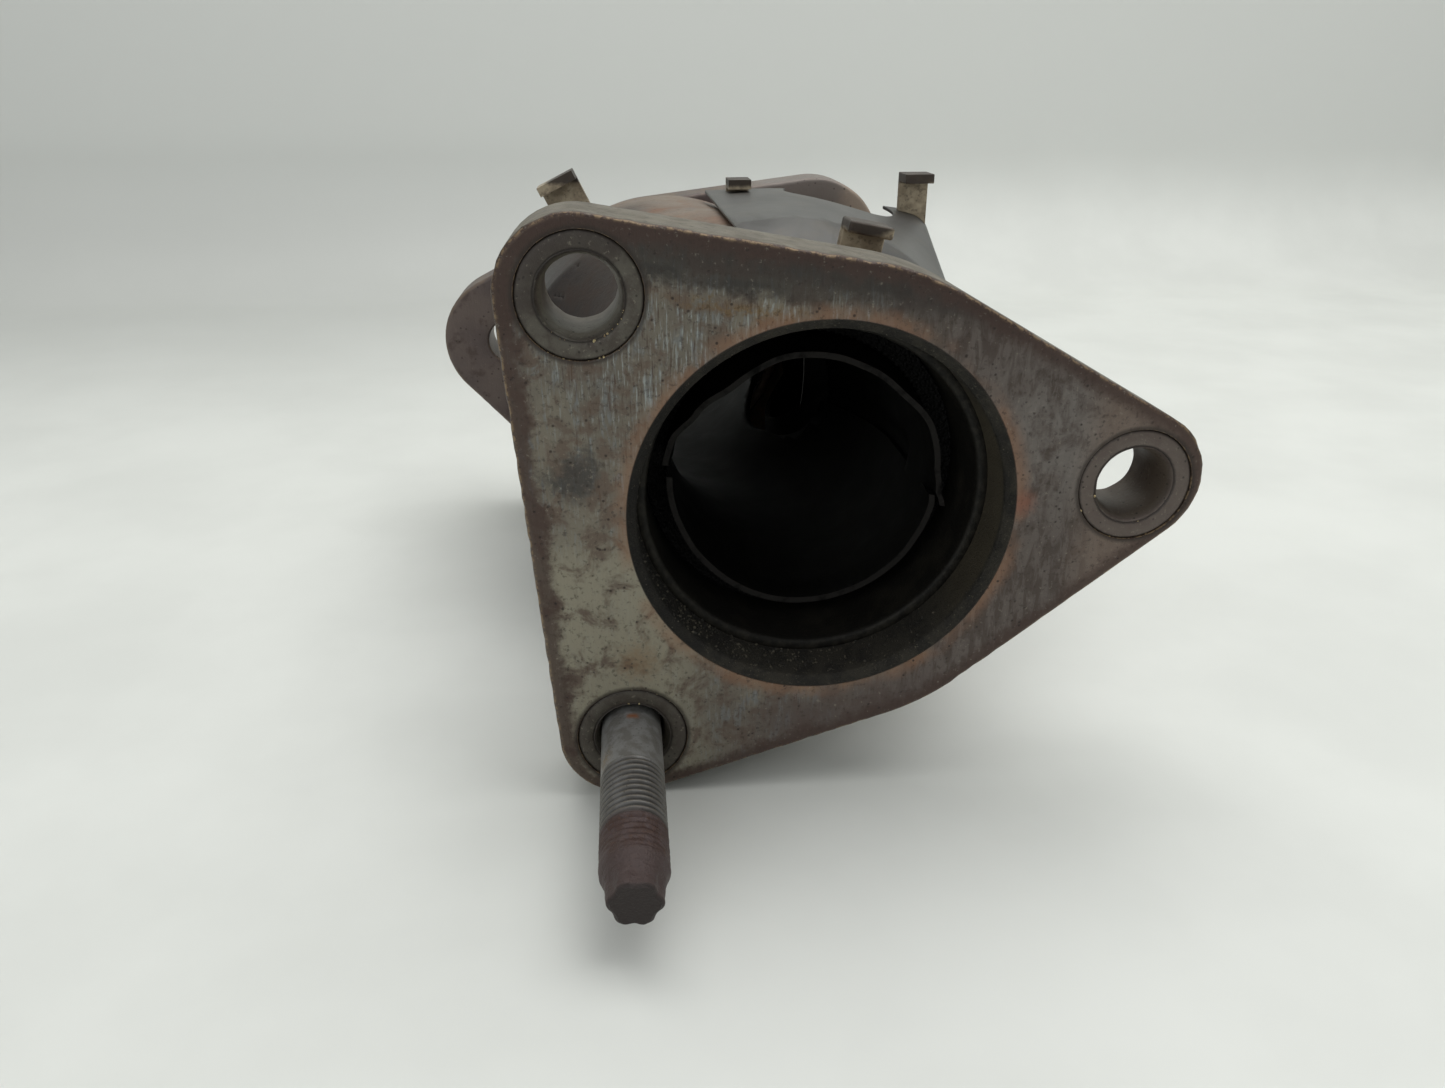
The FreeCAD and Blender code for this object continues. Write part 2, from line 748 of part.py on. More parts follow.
def strap(where, ground):
    """An upright strap, trimmed to what it stands on, with a pad folded forward at its top."""
    name = "shield_bracket_" + where
    width = f"{where}_strap_width"
    angle = f"({where}_strap_lean * 1 deg)"
    lean = Rotation(Vector(0, 1, 0), number(f"{where}_strap_lean"))
    height = f"({where}_strap_top - {where}_strap_foot)"
    left = f"{where}_strap_x - {width} / 2 * cos{angle}"
    foot = f"{where}_strap_foot + {width} / 2 * sin{angle}"
    leg = doc.addObject("Part::Box", name + "_leg")
    bind(leg, Length=width, Width="strap_wall", Height=height)
    place(leg, left, f"{where}_strap_y", foot, lean)
    pad = doc.addObject("Part::Box", name + "_pad")
    bind(pad, Length=width, Width="strap_pad", Height="strap_wall")
    place(pad, f"{left} + ({height} - strap_wall) * sin{angle}", f"{where}_strap_y - strap_pad",
          f"{foot} + ({height} - strap_wall) * cos{angle}", lean)
    return cut(name, fuse(name + "_strap", leg, pad), ground)


def shield_and_brackets(shell):
    """Straps stand on the shell, one of them through the shield, and one stands on the shield."""
    sheet, room = heat_shield()
    strap("left", shell)
    strap("front", shell)
    strap("rear", room)
    cut("branch_heat_shield", sheet, strap("middle", shell))


# ---- assembly ----------------------------------------------------------------

front_flange()
group("bolt_hole_bushes", [bush(which) for which in FRONT_HOLES])
rear_flange()
branch_flange()
front_collar()
rear_collar()
branch_collar()
flange_welds()
neck_welds()
mesh_rings()
shell_form = outer_shells()
liner_halves()
branch_liner()
stud()
lock_nut()
shield_and_brackets(shell_form)
doc.recompute()

NODES = (
    "front_flange", "bolt_hole_bushes", "rear_flange", "branch_flange",
    "front_collar", "rear_collar", "branch_collar",
    "front_flange_weld", "rear_flange_weld", "branch_flange_weld",
    "front_neck_weld", "rear_neck_weld", "branch_neck_weld",
    "front_mesh_ring", "rear_mesh_ring", "branch_mesh_ring",
    "outer_shell_upper", "outer_shell_lower",
    "liner_upper", "liner_lower", "branch_liner",
    "flange_stud", "stud_lock_nut",
    "branch_heat_shield", "shield_bracket_left", "shield_bracket_middle",
    "shield_bracket_front", "shield_bracket_rear",
)

for thing in doc.Objects:
    if "Invalid" in thing.State or "Error" in thing.State:
        raise RuntimeError(f"{thing.Label} failed: {thing.State}")

os.makedirs("parts", exist_ok=True)
for node in NODES:
    piece = doc.getObject(node)
    shape = piece.Shape
    if shape.isNull() or not shape.isValid():
        raise RuntimeError(f"{node} has no valid shape")
    shape.exportStep(f"parts/{node}.step")
    print(f"{node}: {len(shape.Solids)} solid(s), {shape.Volume / 1000:.2f} cm3")
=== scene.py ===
import json
import math
import random
from functools import reduce

import bmesh
import bpy
import numpy as np
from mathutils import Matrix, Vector, geometry, noise


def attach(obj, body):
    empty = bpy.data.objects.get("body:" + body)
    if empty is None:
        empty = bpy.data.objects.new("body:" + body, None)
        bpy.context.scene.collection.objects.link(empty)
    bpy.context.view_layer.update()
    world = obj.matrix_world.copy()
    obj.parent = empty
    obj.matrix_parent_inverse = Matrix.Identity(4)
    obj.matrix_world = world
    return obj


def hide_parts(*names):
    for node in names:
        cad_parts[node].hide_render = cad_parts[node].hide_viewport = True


# Looks of the exhaust tee. Shapes are worked out in millimetres in the CAD's frame: X right,
# Y back along the front bore, Z up. Meshes, lights and the camera are in metres.

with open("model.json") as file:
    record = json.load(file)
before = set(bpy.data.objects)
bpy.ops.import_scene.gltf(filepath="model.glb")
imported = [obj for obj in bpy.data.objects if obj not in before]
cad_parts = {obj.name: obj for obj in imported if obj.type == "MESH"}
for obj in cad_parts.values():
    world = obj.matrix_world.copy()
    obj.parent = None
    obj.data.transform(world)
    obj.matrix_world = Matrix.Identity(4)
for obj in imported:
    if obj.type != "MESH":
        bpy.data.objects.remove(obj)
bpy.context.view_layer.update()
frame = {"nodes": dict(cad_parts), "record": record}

MM = 0.001
MOUNTS = {mount["name"]: mount for mount in frame["record"]["mounts"]}


def mount_point(name):
    """A mount's position in millimetres."""
    return Vector(MOUNTS[name]["pos_m"]) / MM


UPPER_HOLE = mount_point("front_upper_hole")
NOSE_HOLE = mount_point("front_nose_hole")
LOWER_HOLE = mount_point("stud_thread")
REAR_PORT = mount_point("rear_port")
BRANCH_PORT = mount_point("branch_port")
GROUND = BRANCH_PORT.z

# Radii, wall thicknesses, depths along Y and heights along Z of the CAD's parts.
FLANGE_THICK = 13.0
BORE = 28.5
BORE_MOUTH = 30.0
BUSH = 8.95
BOLT_HOLE = 5.4
COLLAR = 29.0
COLLAR_WALL = 2.2
COLLAR_SETBACK = 9.5
FRONT_COLLAR_END = 34.0
REAR_COLLAR_END = 118.0
REAR_FACE = REAR_PORT.y
REAR_FRONT = REAR_FACE - FLANGE_THICK
BRANCH = 21.0
BRANCH_COLLAR = 21.5
BRANCH_COLLAR_WALL = 2.0
BRANCH_COLLAR_TOP = -24.0
BRANCH_COLLAR_END = -46.5
BRANCH_FLANGE_THICK = 10.0
BRANCH_BOLT_HOLE = 4.5
BRANCH_Z = 4.0
LINER = 23.0
LINER_WALL = 1.0
LINER_FRONT = 17.0
LINER_BACK = 129.0
# Where the upper half of the liner steps out over the lower one, clear of the mesh rings.
LAP_START = (34.0, 35.6)
LAP_END = (115.0, 116.6)
WINDOW = 18.8
# Where the shell's necks end, and between which depths the run's belly is at its widest.
FRONT_NECK = 29.0
REAR_NECK = 123.0
BRANCH_LEG_END = -34.6
BELLY_DEPTHS = (44.5, 109.0)
BELLY = 34.5
# Where each mesh ring starts along its pipe.
FRONT_RING = 24.0
REAR_RING = 119.5
BRANCH_RING = -40.0
RING_LENGTH = 8.0
SEAM_ROLL = math.radians(10.0)
BEND_FRONT = 44.0
BEND_BACK = 108.0
# How far a plate's edge stays inside its CAD form.
SNUG = 0.02


# ---- meshes ----

def add_mesh(name, points, faces, sharp=40.0):
    """A new object from points in millimetres, smooth except where it turns sharply."""
    mesh = bpy.data.meshes.new(name)
    mesh.from_pydata([tuple(c * MM for c in point) for point in points], [], faces)
    work = bmesh.new()
    work.from_mesh(mesh)
    bpy.data.meshes.remove(mesh)
    return finished(name, work, sharp)


def finished(name, work, sharp=40.0):
    """A new object from a working mesh, which is used up."""
    bmesh.ops.recalc_face_normals(work, faces=work.faces)
    mesh = bpy.data.meshes.new(name)
    work.to_mesh(mesh)
    work.free()
    mesh.shade_smooth()
    mesh.set_sharp_from_angle(angle=math.radians(sharp))
    obj = bpy.data.objects.new(name, mesh)
    bpy.context.scene.collection.objects.link(obj)
    return obj


def dress(obj, material, slot, *nodes, body="root"):
    """Gives a new piece its material and body, and hides the CAD nodes it stands for. The slot is not
    used.
    """
    obj.data.materials.clear()
    obj.data.materials.append(material)
    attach(obj, body)
    if nodes:
        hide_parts(*nodes)
    return obj


def facing(x, z):
    """Local (a, b, h) for a shape whose axis runs along Y: h is the depth."""
    return lambda a, b, h: (x + a, h, z + b)


def upright(x, y):
    """Local (a, b, h) for a shape whose axis runs along Z: h is the height."""
    return lambda a, b, h: (x + a, y + b, h)


FRONT_SEAT = facing(0, 0)
REAR_SEAT = facing(REAR_PORT.x, REAR_PORT.z)
BRANCH_SEAT = upright(BRANCH_PORT.x, BRANCH_PORT.y)


def turns(steps):
    """Evenly spaced angles round a full turn."""
    return [2 * math.pi * k / steps for k in range(steps)]


def polar(seat, turn, r, h):
    """The point at an angle and a radius about a seat's axis."""
    return seat(r * math.cos(turn), r * math.sin(turn), h)


def bridge(first, second, count):
    """Quads between two closed loops of points, each given by its first point's number."""
    pairs = [(k, (k + 1) % count) for k in range(count)]
    return [(first + k, first + j, second + j, second + k) for k, j in pairs]


def filleted(corners, steps=4):
    """A closed outline in (radius, height) whose corners, (r, h, fillet), are rounded."""
    outline = []
    count = len(corners)
    for i, (r, h, fillet) in enumerate(corners):
        here = Vector((r, h))
        before = (Vector(corners[i - 1][:2]) - here).normalized()
        after = (Vector(corners[(i + 1) % count][:2]) - here).normalized()
        if fillet == 0:
            outline.append((r, h))
            continue
        half = before.angle(after) / 2
        reach = fillet / math.tan(half)
        start = here + before * reach
        end = here + after * reach
        for k in range(steps + 1):
            t = k / steps
            outline.append(tuple(start.lerp(here, t).lerp(here.lerp(end, t), t)))
    return outline


def ring(name, seat, outline, steps=180, wobble=None, sharp=40.0):
    """A closed outline in (radius, height) turned about the seat's axis."""
    points = []
    for turn in turns(steps):
        for r, h in outline:
            if wobble:
                r, h = wobble(turn, r, h)
            points.append(polar(seat, turn, r, h))
    count = len(outline)
    faces = []
    for k in range(steps):
        faces += bridge(k * count, (k + 1) % steps * count, count)
    return add_mesh(name, points, faces, sharp)


def rough(size, depth, seed):
    """A wobble that moves a ring's wall in and out a little, as soot and scale do."""
    shift = Vector((seed, 2.0 * seed, 3.0 * seed))

    def wobble(turn, r, h):
        place = Vector((r * math.cos(turn), r * math.sin(turn), h)) / size + shift
        push = depth * noise.noise(place)
        return r + push, h + push * 0.5

    return wobble


# ---- plates ----

def belt(corners, inset, spacing=1.5):
    """Points along a belt round the corners, (x, y, radius), drawn in by an inset."""
    count = len(corners)
    normals = []
    for i, (x, y, radius) in enumerate(corners):
        far_x, far_y, far_radius = corners[(i + 1) % count]
        run = Vector((far_x - x, far_y - y))
        lean = (radius - far_radius) / run.length
        ahead = run.normalized()
        normals.append(ahead * lean + Vector((ahead.y, -ahead.x)) * math.sqrt(1 - lean * lean))
    points = []
    for i, (x, y, radius) in enumerate(corners):
        start = math.atan2(normals[i - 1].y, normals[i - 1].x)
        sweep = (math.atan2(normals[i].y, normals[i].x) - start) % (2 * math.pi)
        bits = max(2, round(sweep * radius / spacing))
        for k in range(bits + 1):
            turn = start + sweep * k / bits
            reach = radius - inset
            points.append(Vector((x + reach * math.cos(turn), y + reach * math.sin(turn))))
        far_x, far_y, far_radius = corners[(i + 1) % count]
        tail = Vector((x, y)) + normals[i] * radius
        head = Vector((far_x, far_y)) + normals[i] * far_radius
        bits = max(2, round((head - tail).length / spacing))
        for k in range(1, bits):
            points.append(tail.lerp(head, k / bits) - normals[i] * inset)
    return points


def inside_by(outline, places):
    """How far each place lies inside a convex outline."""
    corners = np.array([tuple(p) for p in outline])
    along = np.roll(corners, -1, axis=0) - corners
    length = np.linalg.norm(along, axis=1)
    keep = length > 1e-6
    corners, along = corners[keep], along[keep] / length[keep, None]
    inward = np.stack([-along[:, 1], along[:, 0]], axis=1)
    return np.min(places @ inward.T - np.sum(corners * inward, axis=1), axis=1)


def face_between(outline, holes, spacing):
    """Triangles that fill an outline round its holes. Gives all points and the triangles."""
    low = np.min([tuple(p) for p in outline], axis=0)
    high = np.max([tuple(p) for p in outline], axis=0)
    grid = np.stack(np.meshgrid(np.arange(low[0], high[0], spacing),
                                np.arange(low[1], high[1], spacing)), -1).reshape(-1, 2)
    grid += (np.random.default_rng(5).random(grid.shape) - 0.5) * spacing * 0.4
    keep = inside_by(outline, grid) > spacing * 0.7
    for x, y, radius, _ in holes:
        keep &= np.hypot(grid[:, 0] - x, grid[:, 1] - y) > radius + spacing * 0.7
    loops = [list(outline)]
    for x, y, radius, steps in holes:
        loops.append([Vector((x + radius * math.cos(turn), y + radius * math.sin(turn)))
                      for turn in turns(steps)])
    points = []
    edges = []
    for loop in loops:
        first = len(points)
        points += loop
        edges += [(first + k, first + (k + 1) % len(loop)) for k in range(len(loop))]
    points += [Vector(p) for p in grid[keep]]
    found, _, triangles, origins, _, _ = geometry.delaunay_2d_cdt(points, edges, [], 0, 1e-7)
    back = {k: source[0] for k, source in enumerate(origins) if source}
    kept = []
    for triangle in triangles:
        centre = sum((found[k] for k in triangle), Vector((0, 0))) / 3
        if any((centre - Vector((x, y))).length < radius * 0.999 for x, y, radius, _ in holes):
            continue
        a, b, c = [found[k] for k in triangle]
        if abs((b - a).cross(c - a)) > 0.01 and all(k in back for k in triangle):
            kept.append(tuple(back[k] for k in triangle))
    return points, kept


def plate(name, seat, corners, holes, low, high, edge=0.8, spacing=2.0, chips=0.0, swell=0.0):
    """A flat plate with rounded edges.

    Each hole is (x, y, steps, outline), and its outline runs from the low face to the high face
    as (radius, height). Heights rise from low to high. Chips eat into the low face's edge.
    """
    quarter = [math.pi / 2 * k / 4 for k in range(5)]
    side = [(edge * (1 - math.sin(t)), low + edge * (1 - math.cos(t))) for t in quarter]
    rows = 6
    side += [(0.0, low + edge + (high - low - 2 * edge) * k / rows) for k in range(1, rows)]
    side += [(edge * (1 - math.cos(t)), high - edge * (1 - math.sin(t))) for t in quarter]
    side = [(inset + SNUG, height) for inset, height in side]
    points = []
    faces = []
    margins = []
    walls = []
    for step, (inset, height) in enumerate(side):
        loop = belt(corners, inset)
        start = len(points)
        for p in loop:
            eaten = chips * max(0.0, noise.noise(Vector((p.x, p.y, height)) / 1.7)) * (step < 7)
            pulled = p * (1 - eaten / p.length)
            points.append(seat(pulled.x, pulled.y, height))
            margins.append(inset)
        walls.append((start, len(loop)))
    for (first, count), (second, _) in zip(walls, walls[1:]):
        faces += bridge(first, second, count)
    rings = []
    for x, y, steps, outline in holes:
        starts = []
        for radius, height in outline:
            starts.append(len(points))
            for turn in turns(steps):
                a = x + radius * math.cos(turn)
                b = y + radius * math.sin(turn)
                points.append(seat(a, b, height))
                margins.append(0.0)
        for first, second in zip(starts, starts[1:]):
            faces += bridge(first, second, steps)
        rings.append((starts, steps))
    for end, height in ((0, low), (-1, high)):
        outline = belt(corners, side[end][0])
        gaps = [(x, y, profile[end][0], steps) for x, y, steps, profile in holes]
        places, triangles = face_between(outline, gaps, spacing)
        border = [walls[end][0] + k for k in range(len(outline))]
        for starts, steps in rings:
            border += [starts[end] + k for k in range(steps)]
        depth = inside_by(belt(corners, 0.0), np.array([tuple(p) for p in places]))
        index = list(border)
        for k in range(len(border), len(places)):
            p = places[k]
            index.append(len(points))
            lift = swell * noise.noise(Vector((p.x, p.y, 0)) / 9.0) * (end == 0)
            points.append(seat(p.x, p.y, height + abs(lift)))
            margins.append(0.0)
        for k, number in enumerate(index):
            margins[number] = float(depth[k])
        for triangle in triangles:
            faces.append(tuple(index[k] for k in triangle))
    obj = add_mesh(name, points, faces, sharp=32.0)
    attribute = obj.data.attributes.new("margin", "FLOAT", "POINT")
    attribute.data.foreach_set("value", np.array(margins, np.float32))
    return obj


# ---- pressed shells from a distance field ----

def surface_net(field, corner, step):
    """A closed mesh of quads round the part of a sampled field that is below zero."""
    inside = field < 0
    shape = tuple(n - 1 for n in field.shape)
    sums = np.zeros(shape + (3,))
    hits = np.zeros(shape)

    def cells(values, offset):
        return values[tuple(slice(o, o + n) for o, n in zip(offset, shape))]

    for axis in range(3):
        for first in (0, 1):
            for second in (0, 1):
                offset = [first, second]
                offset.insert(axis, 0)
                ahead = list(offset)
                ahead[axis] = 1
                a, b = cells(field, offset), cells(field, ahead)
                cross = (a < 0) != (b < 0)
                share = np.where(cross, a / np.where(cross, a - b, 1.0), 0.0)
                hits += cross
                for k in range(3):
                    sums[..., k] += cross * offset[k] + (share if k == axis else 0.0)
    active = hits > 0
    number = np.full(shape, -1)
    number[active] = np.arange(active.sum())
    places = np.argwhere(active) + sums[active] / hits[active][:, None]
    points = places * step + np.array(corner)
    faces = []
    for axis in range(3):
        u, v = [k for k in range(3) if k != axis]
        low = [slice(None)] * 3
        high = [slice(None)] * 3
        low[axis], high[axis] = slice(0, -1), slice(1, None)
        cross = np.argwhere(inside[tuple(low)] != inside[tuple(high)])
        cross = cross[(cross[:, u] > 0) & (cross[:, v] > 0)]
        cross = cross[(cross[:, u] < shape[u]) & (cross[:, v] < shape[v])]
        around = []
        for du, dv in ((-1, -1), (0, -1), (0, 0), (-1, 0)):
            cell = cross.copy()
            cell[:, u] += du
            cell[:, v] += dv
            around.append(number[tuple(cell.T)])
        faces += np.stack(around, axis=1).tolist()
    return points.tolist(), faces


def soft_union(a, b, blend):
    """The union of two distance fields, filleted where they meet."""
    share = np.clip(0.5 + 0.5 * (b - a) / blend, 0, 1)
    return b + (a - b) * share - blend * share * (1 - share)


def eased(value, start, end):
    t = np.clip((value - start) / (end - start), 0, 1)
    return t * t * (3 - 2 * t)


ASIDE = Vector((REAR_PORT.x, REAR_PORT.z))
HALF_RUN = (BEND_BACK - BEND_FRONT) / 2
BEND = HALF_RUN / math.sin(2 * math.atan2(ASIDE.length / 2, HALF_RUN))


def run_offset(depth):
    """How far the run's centre line has moved aside at a depth: two equal arcs."""
    front = np.clip(depth - BEND_FRONT, 0, HALF_RUN)
    back = np.clip(BEND_BACK - depth, 0, HALF_RUN)
    first = BEND - np.sqrt(BEND ** 2 - front ** 2)
    second = BEND - np.sqrt(BEND ** 2 - back ** 2)
    return np.where(depth < (BEND_FRONT + BEND_BACK) / 2, first, ASIDE.length - second)


def run_centre(depth):
    """The X and Z of the run's centre line at a depth."""
    return ASIDE.normalized() * float(run_offset(depth))


def swelling(depth):
    """How far the run has swollen from its necks to its belly, 0 to 1."""
    widest, narrowing = BELLY_DEPTHS
    return eased(depth, FRONT_COLLAR_END, widest) * (1 - eased(depth, narrowing, REAR_COLLAR_END))


def room_field(x, y, z):
    """Distance to the shell's inner face: the run, swollen between its necks, and the branch."""
    growth = BELLY - COLLAR
    steep = growth * (swelling(y + 0.5) - swelling(y - 0.5))
    aside = ASIDE.normalized()
    along = x * aside.x + z * aside.y - run_offset(y)
    across = z * aside.x - x * aside.y
    slope = run_offset(y + 0.5) - run_offset(y - 0.5)
    run = np.hypot(along / np.sqrt(1 + slope ** 2), across) - COLLAR - growth * swelling(y)
    run = run / np.sqrt(1 + steep ** 2)
    level_x = np.clip(x, 0, BRANCH_PORT.x)
    level = np.sqrt((x - level_x) ** 2 + (y - BRANCH_PORT.y) ** 2 + (z - BRANCH_Z) ** 2)
    drop_z = np.minimum(z, BRANCH_Z)
    drop = np.sqrt((x - BRANCH_PORT.x) ** 2 + (y - BRANCH_PORT.y) ** 2 + (z - drop_z) ** 2)
    branch = np.minimum(level, drop) - BRANCH_COLLAR
    return soft_union(run, branch, 8.0)


def outer_shells(material):
    """The two pressed halves, with a lip along the seam that leans to the right."""
    step = 0.8
    wall, brim, lip_thick = 1.5, 4.0, 1.5
    lip_start, lip_end = 42.0, 112.0
    seam_gap, lip_fillet = 0.03, 1.6
    low = np.array([-60.0, 26.0, -38.0])
    high = np.array([50.0, 127.0, 46.0])
    axes = [np.arange(a, b, step) for a, b in zip(low, high)]
    x, y, z = np.meshgrid(*axes, indexing="ij")
    room = room_field(x, y, z)
    height = x * math.sin(SEAM_ROLL) + z * math.cos(SEAM_ROLL)
    ends = np.maximum.reduce([FRONT_NECK - y, y - REAR_NECK, BRANCH_LEG_END - z])
    sheet = np.maximum(room - wall, -room)
    lip = np.maximum.reduce([room - brim, -room, lip_start - y, y - lip_end])
    for name, side in (("upper", 1.0), ("lower", -1.0)):
        above = height * side
        edged = np.maximum.reduce([lip, above - lip_thick, -above])
        half = soft_union(sheet, edged, lip_fillet)
        half = np.maximum.reduce([half, seam_gap - above, ends])
        points, faces = surface_net(half, low, step)
        shell = add_mesh(f"shell_{name}_pressing", points, faces, sharp=55.0)
        dress(shell, material, "shell_steel", f"outer_shell_{name}")


# ---- the liner ----

def sheet_solid(name, inner, outer):
    """A closed sheet between two grids of points of the same shape."""
    rows, columns = len(inner), len(inner[0])
    points = [p for row in inner for p in row] + [p for row in outer for p in row]
    shift = rows * columns
    faces = []
    for i in range(rows - 1):
        for j in range(columns - 1):
            a, b = i * columns + j, i * columns + j + 1
            c, d = b + columns, a + columns
            faces.append((a, b, c, d))
            faces.append((d + shift, c + shift, b + shift, a + shift))
    rim = [(i, 0) for i in range(rows)] + [(rows - 1, j) for j in range(1, columns)]
    rim += [(i, columns - 1) for i in range(rows - 2, -1, -1)]
    rim += [(0, j) for j in range(columns - 2, 0, -1)]
    numbers = [i * columns + j for i, j in rim]
    for a, b in zip(numbers, numbers[1:] + numbers[:1]):
        faces.append((a, a + shift, b + shift, b))
    return add_mesh(name, points, faces)


def eased_between(value, stops):
    """A smooth path through (value, result) stops."""
    for (start, first), (end, second) in zip(stops, stops[1:]):
        if value <= end:
            return first + (second - first) * float(eased(value, start, end))
    return stops[-1][1]


# The liner's front edge is bent out of round. Each stop is (degrees, radius of the outer face).
UPPER_EDGE = ((-14.0, 25.0), (-8.0, 23.6), (2.0, 22.9), (20.0, 22.9), (44.0, 21.4), (70.0, 21.2),
              (95.0, 21.4), (127.0, 20.6), (148.0, 22.0), (163.0, 23.9), (173.0, 24.2))
LOWER_EDGE = ((178.0, 23.3), (215.0, 23.0), (270.0, 23.4), (320.0, 23.3), (346.0, 23.0),
              (350.0, 22.6))


def liner_half(name, edge, round_radius, material):
    """Half of the gas liner. Its bent front edge fades into a round tube further in."""
    start, end = edge[0][0], edge[-1][0]
    columns = 72
    depths = [LINER_FRONT + 0.6 * k for k in range(14)]
    depths += [LINER_FRONT + 9.0 + 3.1 * k for k in range(34)]
    depths = [d for d in depths if d < LINER_BACK - 1.0] + [LINER_BACK, *LAP_START, *LAP_END]
    depths.sort()
    inner, outer = [], []
    for depth in depths:
        fade = float(eased(depth, LINER_FRONT + 0.5, LINER_FRONT + 6.5))
        centre = run_centre(depth)
        inner_row, outer_row = [], []
        for k in range(columns):
            angle = start + (end - start) * k / (columns - 1)
            bent = eased_between(angle, edge)
            radius = bent + (round_radius(angle, depth) - bent) * fade
            turn = math.radians(angle)
            ripple = 0.12 * noise.noise(Vector((angle / 14.0, depth / 6.0, 4.0)))
            for row, r in ((inner_row, radius - LINER_WALL), (outer_row, radius)):
                reach = r + ripple
                row.append((centre.x + reach * math.cos(turn), depth,
                            centre.y + reach * math.sin(turn)))
        inner.append(inner_row)
        outer.append(outer_row)
    half = sheet_solid(name, inner, outer)
    cut_window(half)
    return dress(half, material, "liner_steel", name.replace("_sheet", ""), body="run_liner")


def round_bar(seat, radius, low, high):
    """A plain bar that only serves to cut."""
    steps = 64
    points = [polar(seat, turn, radius, height) for height in (low, high) for turn in turns(steps)]
    faces = bridge(0, steps, steps)
    faces += [tuple(range(steps - 1, -1, -1)), tuple(range(steps, 2 * steps))]
    return add_mesh("window_cutter", points, faces)


def cut_window(obj):
    """Opens the run's liner round the branch's liner: where it enters and where it drops."""
    def level(across, up, height):
        return height, BRANCH_PORT.y + across, BRANCH_Z + up

    level_start = -2.0
    for seat, low, high in ((level, level_start, BRANCH_PORT.x),
                            (BRANCH_SEAT, BRANCH_LEG_END, BRANCH_Z)):
        cutter = round_bar(seat, WINDOW, low, high)
        boolean = obj.modifiers.new("window", "BOOLEAN")
        boolean.operation = "DIFFERENCE"
        boolean.solver = "EXACT"
        boolean.object = cutter
        shapes = bpy.context.evaluated_depsgraph_get()
        result = bpy.data.meshes.new_from_object(obj.evaluated_get(shapes))
        obj.modifiers.clear()
        obj.data = result
        bpy.data.objects.remove(cutter)


def liners(material):
    def lapped(angle, depth):
        """The upper half steps out over the lower one near both seams, past the mesh ring."""
        near_seam = max(eased(angle, 4.0, -6.0), eased(angle, 156.0, 166.0))
        past_ring = eased(depth, *LAP_START) * (1 - eased(depth, *LAP_END))
        return LINER + LINER_WALL * float(near_seam * past_ring)

    def plain(angle, depth):
        return LINER

    liner_half("liner_upper_sheet", UPPER_EDGE, lapped, material)
    liner_half("liner_lower_sheet", LOWER_EDGE, plain, material)


# ---- flanges and bushes ----

def chamfered_hole(radius, low, high, bevel=0.5):
    """A hole's outline from the low face to the high one: a short bevel at each end."""
    mouth = radius + bevel
    return [(mouth, low), (mouth - 0.12, low + 0.03), (radius + 0.15, low + bevel * 0.85),
            (radius, low + bevel + 0.1), (radius, high - 0.6), (radius + 0.15, high - 0.25),
            (radius + 0.4, high)]


def front_flange(material):
    """The outline is a belt round the nose, the rim and the two left corners."""
    roll = math.radians(3.9)
    nose_radius, left_radius, rim_radius = 10.9, 11.3, 38.3
    nose_raise, left_shift, rim_raise = 0.7, 0.7, 0.1
    up = Vector((-math.sin(roll), math.cos(roll)))
    nose = Vector((NOSE_HOLE.x, NOSE_HOLE.z)) + up * nose_raise
    rim = (*(up * rim_raise), rim_radius)
    lefts = [(hole.x - left_shift, hole.z, left_radius) for hole in (UPPER_HOLE, LOWER_HOLE)]
    corners = [(*nose, nose_radius), rim, *lefts, rim]
    bore = [(BORE_MOUTH, 0.0), (BORE_MOUTH - 0.12, 0.02), (BORE + 0.75, 0.55), (BORE + 0.15, 0.95)]
    bore += [(BORE, 1.2 + k) for k in range(9)]
    bore += [(BORE, COLLAR_SETBACK), (COLLAR, COLLAR_SETBACK), (COLLAR, FLANGE_THICK)]
    wall = BUSH + 0.02
    socket = [(BUSH + 0.28, 0.0), (BUSH + 0.06, 0.12), (wall, 0.3), (wall, 6.0), (wall, FLANGE_THICK)]
    holes = [(0.0, 0.0, 240, bore)]
    for hole in (UPPER_HOLE, NOSE_HOLE, LOWER_HOLE):
        holes.append((hole.x, hole.z, 120, socket))
    flange = plate("front_flange_plate", FRONT_SEAT, corners, holes, 0.0, FLANGE_THICK,
                   edge=0.7, spacing=1.1, chips=0.35, swell=0.05)
    dress(flange, material, "flange_steel", "front_flange")


def bush(name, hole, material):
    """A spacer bush: a flat ring, a groove, and a conical mouth down to the bolt's hole."""
    outline = [(BUSH, FLANGE_THICK), (BUSH, 0.55), (BUSH - 0.12, 0.28), (BUSH - 0.4, 0.15),
               (7.6, 0.12), (6.75, 0.14), (6.5, 0.3), (6.36, 0.42), (6.2, 0.36), (6.05, 0.5),
               (5.9, 0.95), (5.55, 2.2), (BOLT_HOLE, 2.7), (BOLT_HOLE, 6.0),
               (BOLT_HOLE, 12.6), (5.8, FLANGE_THICK)]
    made = ring(name, facing(hole.x, hole.z), outline, 140, rough(1.6, 0.09, hole.x), sharp=50.0)
    return dress(made, material, "bush_steel")


def bushes(material):
    first = bush("bush_upper", UPPER_HOLE, material)
    bush("bush_nose", NOSE_HOLE, material)
    bush("bush_lower", LOWER_HOLE, material)
    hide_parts("bolt_hole_bushes")


